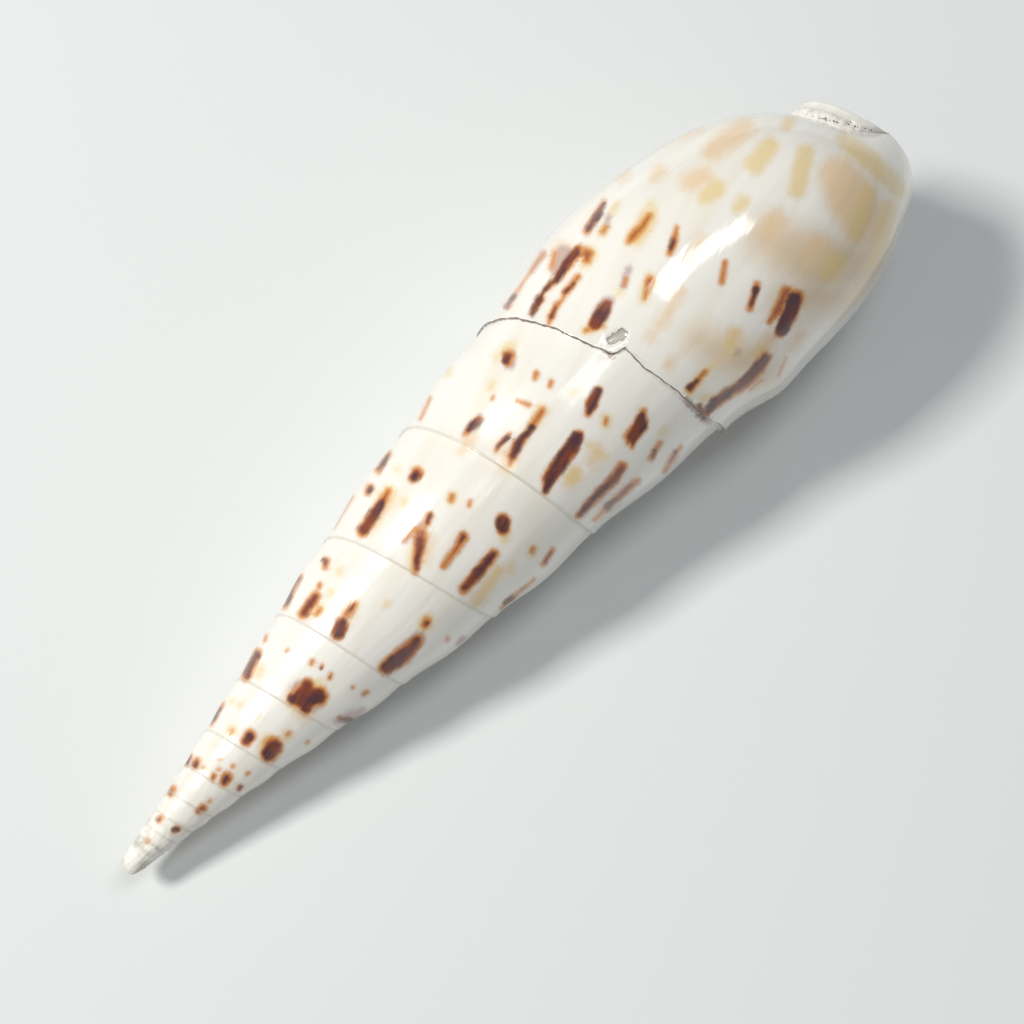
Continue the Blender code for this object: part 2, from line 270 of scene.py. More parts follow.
    def __post_init__(self) -> None:
        """Makes the splines that the methods read."""
        first_turn, first_height = self.suture_heights_mm[0]
        self.beside_turn = self.lip_turn - 1.0
        self.first_turn = self.beside_turn - self.spire_turns
        self.rest_turn = self.lip_turn - self.rest_behind_lip
        backs = range(math.ceil(first_turn - self.first_turn), 0, -1)
        early = [
            (first_turn - back, math.log(first_height * MM / self.early_whorl_ratio**back))
            for back in backs
        ]
        late = [(turn, math.log(height * MM)) for turn, height in self.suture_heights_mm]
        self.log_suture = Spline(tuple(early + late))
        self.outline = Spline(tuple((h * MM, r * MM) for h, r in self.outline_mm))
        turns = (self.beside_turn, 0.0, 0.25, 0.5)
        self.base_span = self.spline_mm(tuple(zip(turns, self.base_span_mm)))
        self.end_height = self.spline_mm(tuple(zip(turns, self.end_height_mm)))
        three = (self.beside_turn, 0.0, 0.5)
        self.roundness = Spline(tuple(zip(three, self.base_roundness)))
        self.fullness = Spline(tuple(zip(three, self.base_fullness)))
        self.rim_radius = self.spline_mm(self.rim_radius_mm)
        self.end_radius = self.spline_mm(self.end_radius_mm)
        self.tip_height = float(self.suture(self.first_turn + 1))

    @staticmethod
    def spline_mm(points: Points) -> Spline:
        """Makes a spline in metres from (turn, millimetres) points."""
        return Spline(tuple((turn, value * MM) for turn, value in points))

    def wander(self, turn: Array | float) -> Array:
        """Gives the suture's small wanderings away from its even spiral."""
        turn = np.asarray(turn, float)
        wander = sum(mm * MM * bump(turn, at, width) for at, mm, width in self.suture_wander_mm)
        ripple = sum(tall * np.sin(rate * turn + start) for rate, tall, start in self.ripples)
        return wander + self.suture_ripple * ramp(turn, *self.ripple_turns) * ripple

    def suture(self, turn: Array | float) -> Array:
        """Gives the height of the suture above the apex."""
        return np.exp(self.log_suture(turn)) + self.wander(turn)

    def broken(self, turn: Array) -> Array:
        """Gives how far the edge at a suture is broken away, towards the siphonal end."""
        past = np.maximum(turn - self.suture_break[0], 0)
        return self.break_height * ramp(turn, *self.suture_break) * np.exp(-past / self.break_fade)

    def relief(self, turn: Array, share: Array) -> Array:
        """Gives a whorl's own form: its step at the suture, its swelling and its shoulder.

        Args:
            turn: where on the spiral.
            share: the share of the way from the whorl's suture to the next.

        Returns:
            The height of the form, relative to the radius.
        """
        near_lip = ramp(turn, *self.near_lip_turns)
        aside = (1 - self.at_rest(turn)) * (1 - near_lip)
        step = self.suture_step + (self.last_suture_step - self.suture_step) * near_lip
        step = step + self.seen_step * aside
        tall = self.whorl_swell + self.seen_swell * aside
        hump = bump(share, self.shoulder_at, self.shoulder_width)
        shoulder = self.last_shoulder * near_lip * hump
        swell = (1 - np.cos(2 * np.pi * np.clip(share, 0, 1))) / 2
        return step * np.exp(-share / self.step_fade) + tall * (swell - 0.5) + shoulder

    def at_rest(self, turn: Array) -> Array:
        """Gives 1 on the line that the shell rests on, and 0 beside its flat."""
        from_line = turn - self.rest_turn
        across = (from_line - np.round(from_line)) / self.rest_half_width
        return np.maximum(1 - across**2, 0)

    def rest_flat(self, turn: Array) -> Array:
        """Gives the relative depth of the flat that the shell rests on."""
        whorls_back = np.round(self.rest_turn - turn).astype(int)
        depth = np.array(self.rest_flats)[np.clip(whorls_back, 0, len(self.rest_flats) - 1)]
        return depth * self.at_rest(turn)

    def section(self, turn: Array | float, v: Array | float) -> tuple[Array, Array]:
        """Gives the growing edge of the shell.

        Args:
            turn: where on the spiral.
            v: the place on the edge: 0 at the suture, `exposed` where the base begins, 1 at
                the rim of the fasciole and 2 at the end of the columella.

        Returns:
            The radius and the height of each place.
        """
        turn, v = np.broadcast_arrays(np.asarray(turn, float), np.asarray(v, float))
        held = np.maximum(turn, self.beside_turn)
        inner_held = np.maximum(turn, self.rim_radius_mm[0][0])
        followed = np.minimum(turn, self.beside_turn)
        scale = self.suture(followed) / self.suture(self.beside_turn)
        start = np.maximum(self.suture(turn), self.tip_height)
        span = self.base_span(held) * scale - self.wander(turn)
        free = ramp(turn - self.beside_turn, 0, self.uncovered_turns)
        covered = self.suture(followed + 1) - np.maximum(self.suture(followed), self.tip_height)
        covered_share = covered / (self.base_span(self.beside_turn) * scale)
        flat_share = covered_share + (self.base_start - covered_share) * free
        rim = self.rim_radius(inner_held) * scale
        power_h, power_r = 2 / self.roundness(held), 2 / self.fullness(held)
        drawn = self.outline(start + self.rim_drawn_from * span)
        rim_angle = np.arccos((rim / drawn) ** (1 / power_r))

        upper = np.clip(v / self.exposed, 0, 1)
        angle = rim_angle * np.clip((v - self.exposed) / (1 - self.exposed), 0, 1)
        share = flat_share * upper + (1 - flat_share) * np.sin(angle) ** power_h
        height = start + span * share
        whorl_share = (height - self.suture(turn)) / (self.suture(turn + 1) - self.suture(turn))
        form = 1 + self.relief(turn, whorl_share) - self.rest_flat(turn)
        height = height + self.filled * ramp(v, *self.filled_v) * ramp(turn, *self.filled_turns)
        radius = self.outline(height) * form * np.cos(angle) ** power_r

        rim_height = height
        down = np.clip(v - 1, 0, 1)
        height = rim_height + (self.end_height(held) - rim_height) * down
        below = height - rim_height
        pillar = self.end_radius(inner_held) * scale
        column = pillar + (radius - pillar) * np.exp(-below / self.columella_fillet)
        tall, ridge_at, ridge_width = self.fasciole_ridge
        ridge = tall * bump(below, ridge_at, ridge_width)
        deep, fold_at, fold_width = self.columella_fold
        fold = deep * bump(below, fold_at, fold_width) * ramp(-turn, 0, self.fold_fade_turns)
        return np.where(v > 1, column + ridge + fold, radius), height

    def notch(self, v: Array) -> Array:
        """Gives how far the lip is cut back, in turns, for the siphonal notch."""
        return self.notch_turns * ramp(v, *self.notch_span)

    def world_matrix(self) -> Matrix:
        """Gives the matrix from the shell's own frame to where it rests."""
        rest = Matrix.Rotation(self.rest_lean, 4, "Y") @ Matrix.Rotation(self.rest_roll, 4, "X")
        return Matrix.Translation(Vector(self.apex_place_mm) * MM) @ rest


def place(turn: Array | float, radius: Array | float, height: Array | float) -> Array:
    """Turns growth coordinates to points in the shell's own frame.

    Args:
        turn: the angle about the axis, in turns.
        radius: the distance from the axis.
        height: the distance from the apex along the axis.

    Returns:
        One row of x, y and z for each point.
    """
    turn, radius, height = np.broadcast_arrays(turn, radius, height)
    angle = 2 * np.pi * turn
    return np.stack([height, radius * np.cos(angle), radius * np.sin(angle)], axis=-1)


@dataclass
class PhotoCamera:
    """The camera of the photograph, fitted to the shell's outline and sutures.

    Attributes:
        apex_pixel: where the axis leaves the apex.
        depth: distance from the camera to the apex along its axis, in metres.
        tilt: how far the shell's axis points away from the image plane.
        heading: the axis's direction in the image plane.
        focal_length, sensor_width: in millimetres; the sensor is square.
    """

    apex_pixel: Pair = (125.0, 871.0)
    depth: float = 0.34733
    tilt: float = math.radians(7.72)
    heading: float = math.radians(-46.575)
    focal_length: float = 50.0
    sensor_width: float = 24.0
    image_size: int = 1024

    def __post_init__(self) -> None:
        """Works out the camera's directions and place in the shell's own frame."""
        self.focal_pixels = self.focal_length / self.sensor_width * self.image_size
        flat = math.cos(self.tilt)
        along = np.array(
            [math.cos(self.heading) * flat, math.sin(self.heading) * flat, math.sin(self.tilt)]
        )
        side = np.cross(along, (0.0, 0.0, 1.0))
        side /= np.linalg.norm(side)
        self.axes = np.stack([along, side, np.cross(along, side)])
        middle = self.image_size / 2
        offset = (np.array(self.apex_pixel) - middle) * self.depth / self.focal_pixels
        self.apex = np.array([*offset, self.depth])
        self.centre = -self.axes @ self.apex

    def pixels(self, points: Array) -> tuple[Array, Array]:
        """Finds where points of the shell's own frame lie in the image.

        Args:
            points: rows of x, y and z.

        Returns:
            The columns and the rows of their pixels.
        """
        right, down, forward = (points @ self.axes + self.apex).T
        middle = self.image_size / 2
        scale = self.focal_pixels / forward
        return middle + right * scale, middle + down * scale

    def pixel_size(self) -> float:
        """Gives the size of one pixel at the apex's distance, in metres."""
        return self.depth / self.focal_pixels

    def facing(self, points: Array, normals: Array) -> Array:
        """Gives the cosine between each normal and the direction to the camera."""
        towards = self.centre - points
        towards = towards / np.linalg.norm(towards, axis=1, keepdims=True)
        return np.einsum("ij,ij->i", towards, normals)

    def direction(self, right: float, down: float, forward: float) -> Vector:
        """Gives a direction of the shell's own frame from one in the camera's."""
        return Vector(self.axes @ np.array([right, down, forward]))

    def build(self, form: ShellForm) -> None:
        """Puts the camera in the scene, at the shell as it rests."""
        columns = [self.direction(1, 0, 0), self.direction(0, -1, 0), self.direction(0, 0, -1)]
        turned = Matrix(columns).transposed().to_4x4()
        own = Matrix.Translation(Vector(self.centre)) @ turned
        data = bpy.data.cameras.new("photo_camera")
        data.lens = self.focal_length
        data.sensor_width = self.sensor_width
        camera = put("photo_camera", data)
        camera.matrix_world = form.world_matrix() @ own
        bpy.context.scene.camera = camera


class Zone(Enum):
    """The kinds of surface on the shell."""

    OUTSIDE = 0.0
    LINING = 1.0


@dataclass
class ShellSurface:
    """The shell's fine mesh: columns along the growing edge, and the hollow behind the lip.

    Attributes:
        hidden_share: the part of a turn that lies on the underside.
        hidden_columns, seen_columns: columns of that part and of the rest of the turn.
        fewest_rows: rows that even the smallest whorl has.
        suture_rows: extra rows close to a suture, by their distance from it.
        suture_rows_share: the part of a whorl that they may fill.
        last_suture_rows, last_upper_row: the last whorl's rows close to its suture and its last
            row above the base, as shares of that part.
        base_crowding: how much closer the base's rows stand towards the rim.
        notch_cells, corner_cells: rows along the notch and of the aperture's solid corner.
        lip_wall_share: the share of the wall's thickness that the lip has.
        lip_depth: how far behind the lip it is whole, in turns.
        callus: thickness of the layer laid on the whorl inside the aperture.
        rim_blend: where the wall's inner side turns from square to radial.
        canal_turns: where the siphonal canal is whole; it closes towards turn 0.
        hollow_end_v, canal_end_v: ends of the outer side on the growing edge, in the deep
            hollow and in the canal.
        notch_fade_turns: how far inside the notch is still felt.
        end_dish: share of the radius and rise of each ring of the siphonal end.
    """

    form: ShellForm
    hidden_share: float = 0.4
    hidden_columns: int = 54
    seen_columns: int = 186
    row_height: float = 0.62 * MM
    fewest_rows: int = 4
    suture_rows: Numbers = (0.12 * MM, 0.28 * MM, 0.5 * MM)
    suture_rows_share: float = 0.2
    last_suture_rows: Numbers = (0.0, 0.016, 0.037, 0.066)
    last_upper_row: float = 0.975
    upper_cells: int = 18
    base_cells: int = 84
    base_crowding: float = 1.15
    end_cells: int = 18
    notch_cells: int = 8
    corner_cells: int = 14
    hollow_rings: int = 46
    tip_shares: Numbers = (0.8, 0.6, 0.45, 0.3, 0.2, 0.1, 0.04, 0.01)
    wall: float = 1.3 * MM
    lip_wall_share: float = 0.75
    lip_depth: float = 0.1
    callus: float = 0.15 * MM
    narrowest: float = 0.4 * MM
    rim_blend: Pair = (0.97, 1.03)
    first_depth: float = 0.004
    hollow_turns: float = 1.15
    canal_turns: float = 0.35
    hollow_end_v: Pair = (0.86, 0.95)
    canal_end_v: Pair = (0.985, 1.3)
    floor_gap: float = 0.2 * MM
    notch_fade_turns: float = 0.5
    samples: int = 600
    end_dish: tuple[Pair, ...] = (
        (0.93, 0.15 * MM), (0.8, 0.0), (0.62, -0.5 * MM), (0.42, -1.1 * MM), (0.22, -1.5 * MM),
        (0.08, -1.6 * MM),
    )

    def __post_init__(self) -> None:
        """Starts the lists that the mesh is collected in, and places the last whorl's rows."""
        self.rows: list[Array] = []
        self.marks: list[Array] = []
        self.faces: list[tuple[int, ...]] = []
        self.count = 0
        self.steps = self.last_whorl_steps()

    def points(self, rows: Array, turn: Array | float, v: Array | float, zone: Zone) -> list[int]:
        """Adds points and what is known of them.

        Args:
            rows: their places in the shell's own frame.
            turn: where each one is on the spiral.
            v: where each one is on the growing edge.
            zone: the kind of surface.

        Returns:
            The points' numbers.
        """
        rows = np.asarray(rows, float).reshape(-1, 3)
        turn, v, kind = np.broadcast_arrays(turn, v, np.full(len(rows), zone.value))
        self.rows.append(rows)
        self.marks.append(np.stack([turn, v, kind], axis=-1))
        first, self.count = self.count, self.count + len(rows)
        return list(range(first, self.count))

    def edge(self, turn: Array | float, v: Array) -> list[int]:
        """Adds a column of the outside.

        Args:
            turn: where it is on the spiral, one value or one for each place.
            v: its places on the growing edge.

        Returns:
            The points' numbers.
        """
        form = self.form
        radius, height = form.section(turn, v)
        upper = v / form.exposed
        torn = form.broken(turn) * (1 - ramp(upper, 0, form.break_reach))
        torn = torn + form.broken(turn + 1) * ramp(upper, 1 - form.break_reach, 1)
        radius = radius * form.outline(height + torn) / form.outline(height)
        return self.points(place(turn, radius, height + torn), turn, v, Zone.OUTSIDE)

    def strip(self, first: list[int], second: list[int]) -> None:
        """Adds faces between two rows with as many points."""
        for i in range(len(first) - 1):
            corners = dict.fromkeys((first[i], second[i], second[i + 1], first[i + 1]))
            if len(corners) > 2:
                self.faces.append(tuple(corners))

    def stitch(self, first: list[int], second: list[int]) -> None:
        """Adds triangles between two rows whose numbers of points differ."""
        i, j = 0, 0
        while i < len(first) - 1 or j < len(second) - 1:
            ahead = (i + 1) / (len(first) - 1) <= (j + 1) / (len(second) - 1)
            if j == len(second) - 1 or (ahead and i < len(first) - 1):
                self.faces.append((first[i], second[j], first[i + 1]))
                i += 1
            else:
                self.faces.append((first[i], second[j], second[j + 1]))
                j += 1

    def fan(self, centre: int, ring: list[int], closed: bool = True) -> None:
        """Adds triangles between a point and a row."""
        following = ring[1:] + ring[:1] if closed else ring[1:]
        for a, b in zip(ring, following):
            self.faces.append((centre, a, b))

    def whorl_shares(self, whorl: int) -> Array:
        """Gives the rows of a spire whorl.

        Args:
            whorl: which one, counted back from 0 for the last.

        Returns:
            Shares of the way from its suture to the next, without the next.
        """
        form = self.form
        middle = form.beside_turn + whorl + 0.5
        tall = float(form.suture(middle + 1) - form.suture(middle))
        near = np.array([0.0, *self.suture_rows]) / tall
        near = near[near < self.suture_rows_share]
        cells = max(self.fewest_rows, round(tall / self.row_height))
        between = np.linspace(near[-1], 1 - near[-1], cells + 1)
        return np.concatenate([near[:-1], between, 1 - near[-2:0:-1]])

    def last_whorl_steps(self) -> Array:
        """Gives the places of the last whorl's rows on the growing edge."""
        exposed = self.form.exposed
        near = np.array(self.last_suture_rows)
        even = np.linspace(near[-1], self.last_upper_row, self.upper_cells)
        upper = np.concatenate([near[:-1], even])
        crowded = np.linspace(1, 0, self.base_cells + 1) ** self.base_crowding
        end = np.linspace(1, 2, self.end_cells + 1)[1:]
        self.junction = len(upper)
        return np.concatenate([exposed * upper, 1 - (1 - exposed) * crowded, end])

    def inner_side(self, turn: Array, v: Array, wall: float) -> tuple[Array, Array]:
        """Gives the wall's inner side: square to the wall, and radial past the rim.

        Args:
            turn: where on the spiral.
            v: the place on the growing edge.
            wall: the wall's thickness.

        Returns:
            The radius and the height of each place.
        """
        radius, height = self.form.section(turn, v)
        near_radius, near_height = self.form.section(turn, v + 1 / self.samples)
        along = np.stack([near_radius - radius, near_height - height])
        along = along / np.linalg.norm(along, axis=0)
        past = np.interp(v, self.rim_blend, (0, 1))
        across = (1 - past) * np.stack([along[1], -along[0]]) + past * np.array([[1.0], [0.0]])
        across = across / np.linalg.norm(across, axis=0)
        return radius - wall * across[0], height - wall * across[1]

    def sill(self, first: Numbers, last: Numbers) -> tuple[Array, Array]:
        """Gives points along the notch's edge between two ends.

        Args:
            first: turn, radius and height of one end.
            last: the same of the other end.

        Returns:
            The places and their turns.
        """
        across = np.linspace(0, 1, self.notch_cells + 1)[1:-1, None]
        turn, radius, height = (np.array(first) * (1 - across) + np.array(last) * across).T
        return place(turn, radius, height), turn

    def hollow_ring(self, depth: float) -> list[int]:
        """Adds one ring of the hollow: its corner, outer side, floor and inner side.

        Args:
            depth: how far behind the lip, in turns.

        Returns:
            The points' numbers.
        """
        form, steps = self.form, self.steps
        turn = form.lip_turn - depth
        scale = float(form.suture(min(turn, form.beside_turn)) / form.suture(form.beside_turn))
        thin = self.lip_wall_share
        wall = self.wall * scale * (thin + (1 - thin) * float(ramp(depth, 0, self.lip_depth)))
        canal = float(ramp(turn, 0, self.canal_turns))

        inner_v = np.linspace(form.exposed, 2, self.samples)
        inner_radius, inner_height = form.section(turn - 1, inner_v)
        inner_radius = inner_radius + self.callus
        trial = np.linspace(0, 1, self.samples)
        radius, height = self.inner_side(turn, trial, wall)
        gap = radius - np.interp(height, inner_height, inner_radius)
        first = int(np.argmax(gap > self.narrowest))
        corner = place(turn, radius[first] - self.narrowest, height[first])

        outer_steps = steps[self.junction + 1 :]
        ends = zip(self.hollow_end_v, self.canal_end_v)
        end_v = [deep + (near - deep) * canal for deep, near in ends]
        v = np.interp(outer_steps, (form.exposed, 1, 2), (trial[first], *end_v))
        shift = form.notch(outer_steps) * max(0.0, 1 - depth / self.notch_fade_turns)
        radius, height = self.inner_side(turn - shift, v, wall)
        outer = place(turn - shift, radius, height)

        low = min(height[-1], float(inner_height[-1]) - self.floor_gap)
        bounds = np.interp((corner[0], low), inner_height, inner_v)
        inner_steps = steps[self.junction + self.corner_cells :]
        at_v = np.interp(inner_steps, (inner_steps[0], 1, 2), (bounds[0], 1, bounds[1]))[1:]
        at = np.interp(at_v, inner_v, inner_height)
        at_radius = np.interp(at_v, inner_v, inner_radius)
        inner = place(turn, at_radius, at)
        floor, _ = self.sill(
            (turn - shift[-1], radius[-1], height[-1]), (turn, at_radius[-1], at[-1])
        )
        rows = np.concatenate([corner[None], outer, floor, inner[::-1]])
        return self.points(rows, turn, 1.0, Zone.LINING)

    def build_columns(self) -> tuple[list[list[int]], Array, int]:
        """Adds every column of the outside, from the tip to the lip.

        Returns:
            The columns, their turns, and the number of the one beside the aperture.
        """
        form = self.form
        pattern = np.concatenate([
            np.linspace(0, self.hidden_share, self.hidden_columns, endpoint=False),
            np.linspace(self.hidden_share, 1, self.seen_columns, endpoint=False),
        ])
        whorls = math.ceil(form.spire_turns)
        turns = np.concatenate([form.beside_turn - whorls + i + pattern for i in range(whorls)])
        turns = turns[turns > form.first_turn - NO_TURN]
        shares = {whorl: self.whorl_shares(whorl) for whorl in range(-whorls, 0)}
        columns: list[list[int]] = [[]]
        for turn in turns[1:]:
            whorl = math.floor(turn - form.beside_turn + NO_TURN)
            columns.append(self.edge(turn, form.exposed * shares[whorl]))
        spire = len(columns)
        for grown in [*pattern, 1.0]:
            at = form.beside_turn + grown * (1 - form.notch(self.steps))
            columns.append(self.edge(at, self.steps))
        columns[spire][self.junction] = columns[-1][0]
        return columns, np.concatenate([turns, form.beside_turn + pattern]), spire

    def build_tip(self, columns: list[list[int]], turns: Array, a_turn: int) -> None:
        """Closes the worn tip with rings that shrink to a point."""
        form = self.form
        ring = [column[0] for column in columns[1 : a_turn + 1]]
        at = turns[1 : a_turn + 1]
        for height in form.tip_height * np.array(self.tip_shares):
            rounding = math.sqrt(1 - max(0.0, 1 - height / form.tip_rounding) ** 2)
            radius = float(form.outline(height)) * rounding
            following = self.points(place(at, radius, height), at, 0.0, Zone.OUTSIDE)
            self.strip(ring + ring[:1], following + following[:1])
            ring = following
        tip = self.points(np.zeros((1, 3)), form.first_turn, 0.0, Zone.OUTSIDE)[0]
        self.fan(tip, ring)

    def build_aperture(self, beside: list[int], lip: list[int]) -> list[int]:
        """Builds the lip's edge, the hollow behind it and its closed inner end.

        Args:
            beside: the column beside the aperture.
            lip: the last column.

        Returns:
            The points of the notch's edge.
        """
        form = self.form
        lip_end = form.section(form.lip_turn - form.notch_turns, 2.0)
        column_end = form.section(form.beside_turn, 2.0)
        first = (form.lip_turn - form.notch_turns, *map(float, lip_end))
        places, turns = self.sill(first, (form.lip_turn, *map(float, column_end)))
        sill = self.points(places, turns, 2.0, Zone.OUTSIDE)
        side_start = self.junction + self.corner_cells
        rings = [lip[self.junction :] + sill + beside[: side_start - 1 : -1]]
        for share in np.linspace(0, 1, self.hollow_rings):
            ring = self.hollow_ring(self.first_depth + self.hollow_turns * float(share))
            rings.append(ring + ring[:1])
        for outer_ring, inner_ring in zip(rings, rings[1:]):
            self.strip(outer_ring, inner_ring)
        border = beside[side_start : self.junction : -1] + lip[: self.junction + 1]
        self.fan(rings[1][0], border, closed=False)
        end = rings[-1][:-1]
        rows = np.concatenate(self.rows)
        centre = rows[end].mean(axis=0)
        self.fan(self.points(centre, form.lip_turn, 1.0, Zone.LINING)[0], end)
        return sill

    def build(self, name: str) -> bpy.types.Mesh:
        """Builds the mesh in the shell's own frame.

        Args:
            name: what to call it.

        Returns:
            The mesh, with its faces turned outward.
        """
        columns, turns, spire = self.build_columns()
        a_turn = self.hidden_columns + self.seen_columns
        columns[0] = [columns[a_turn][0]] * len(columns[1])
        for i in range(spire):
            rows = len(columns[i])
            here = columns[i] + [columns[i + a_turn][0]]
            upper = self.junction if i + 1 == spire else len(columns[i + 1])
            following = columns[i + 1][:upper] + [columns[i + 1 + a_turn][0]]
            (self.strip if rows == upper else self.stitch)(here, following)
        for i in range(spire, len(columns) - 1):
            self.strip(columns[i], columns[i + 1])
        self.build_tip(columns, turns, a_turn)
        sill = self.build_aperture(columns[spire], columns[-1])
        self.build_end([column[-1] for column in columns[spire:]] + sill)
        return self.finish(name)

    def build_end(self, ring: list[int]) -> None:
        """Closes the siphonal end with a dished face, rounded at its edge.

        Args:
            ring: the points round the end of the columella and the notch.
        """
        rows = np.concatenate(self.rows)[ring]
        turns = np.concatenate(self.marks)[ring][:, 0]
        centre = np.array([float(self.form.end_height(0.0)), 0.0, 0.0])
        for share, rise in self.end_dish:
            places = centre + (rows - centre) * share + (rise, 0.0, 0.0)
            following = self.points(places, turns, 2.0, Zone.OUTSIDE)
            self.strip(ring + ring[:1], following + following[:1])
            ring = following
        middle = centre + (self.end_dish[-1][1], 0.0, 0.0)
        self.fan(self.points(middle, 0.0, 2.0, Zone.OUTSIDE)[0], ring)

    def finish(self, name: str) -> bpy.types.Mesh:
        """Makes the mesh from what was collected, leaving out points that no face uses."""
        rows = np.concatenate(self.rows)
        used = np.unique(np.concatenate([np.array(face) for face in self.faces]))
        number = np.full(len(rows), -1)
        number[used] = np.arange(len(used))
        self.known = np.concatenate(self.marks)[used]
        data = bpy.data.meshes.new(name)
        data.from_pydata(rows[used].tolist(), [], [number[list(f)].tolist() for f in self.faces])
        mesh = bmesh.new()
        mesh.from_mesh(data)
        bmesh.ops.recalc_face_normals(mesh, faces=mesh.faces)
        if mesh.calc_volume(signed=True) < 0:
            bmesh.ops.reverse_faces(mesh, faces=mesh.faces)
        mesh.to_mesh(data)
        mesh.free()
        data.shade_smooth()
        LOG.info("%s: %d points, %d faces", name, len(data.vertices), len(data.polygons))
        return data


class Tone(Enum):
    """The tones of the shell's colour markings, and of its painted shade, by the name of their
    attribute.
    """

    CORE = "core"
    RUST = "rust"
    OCHRE = "ochre"
    PEACH = "peach"
    PLUM = "plum"
    # Not a marking: painted shade, a warm darker colour laid on the last whorl's shaded flank
    PAINTED_SHADE = "wash"
    STAIN = "stain"


Stroke = tuple[Triple, ...]

# How far outside a chip or a pit its depth is still told, in pixels
STROKE_REACH = 9.0

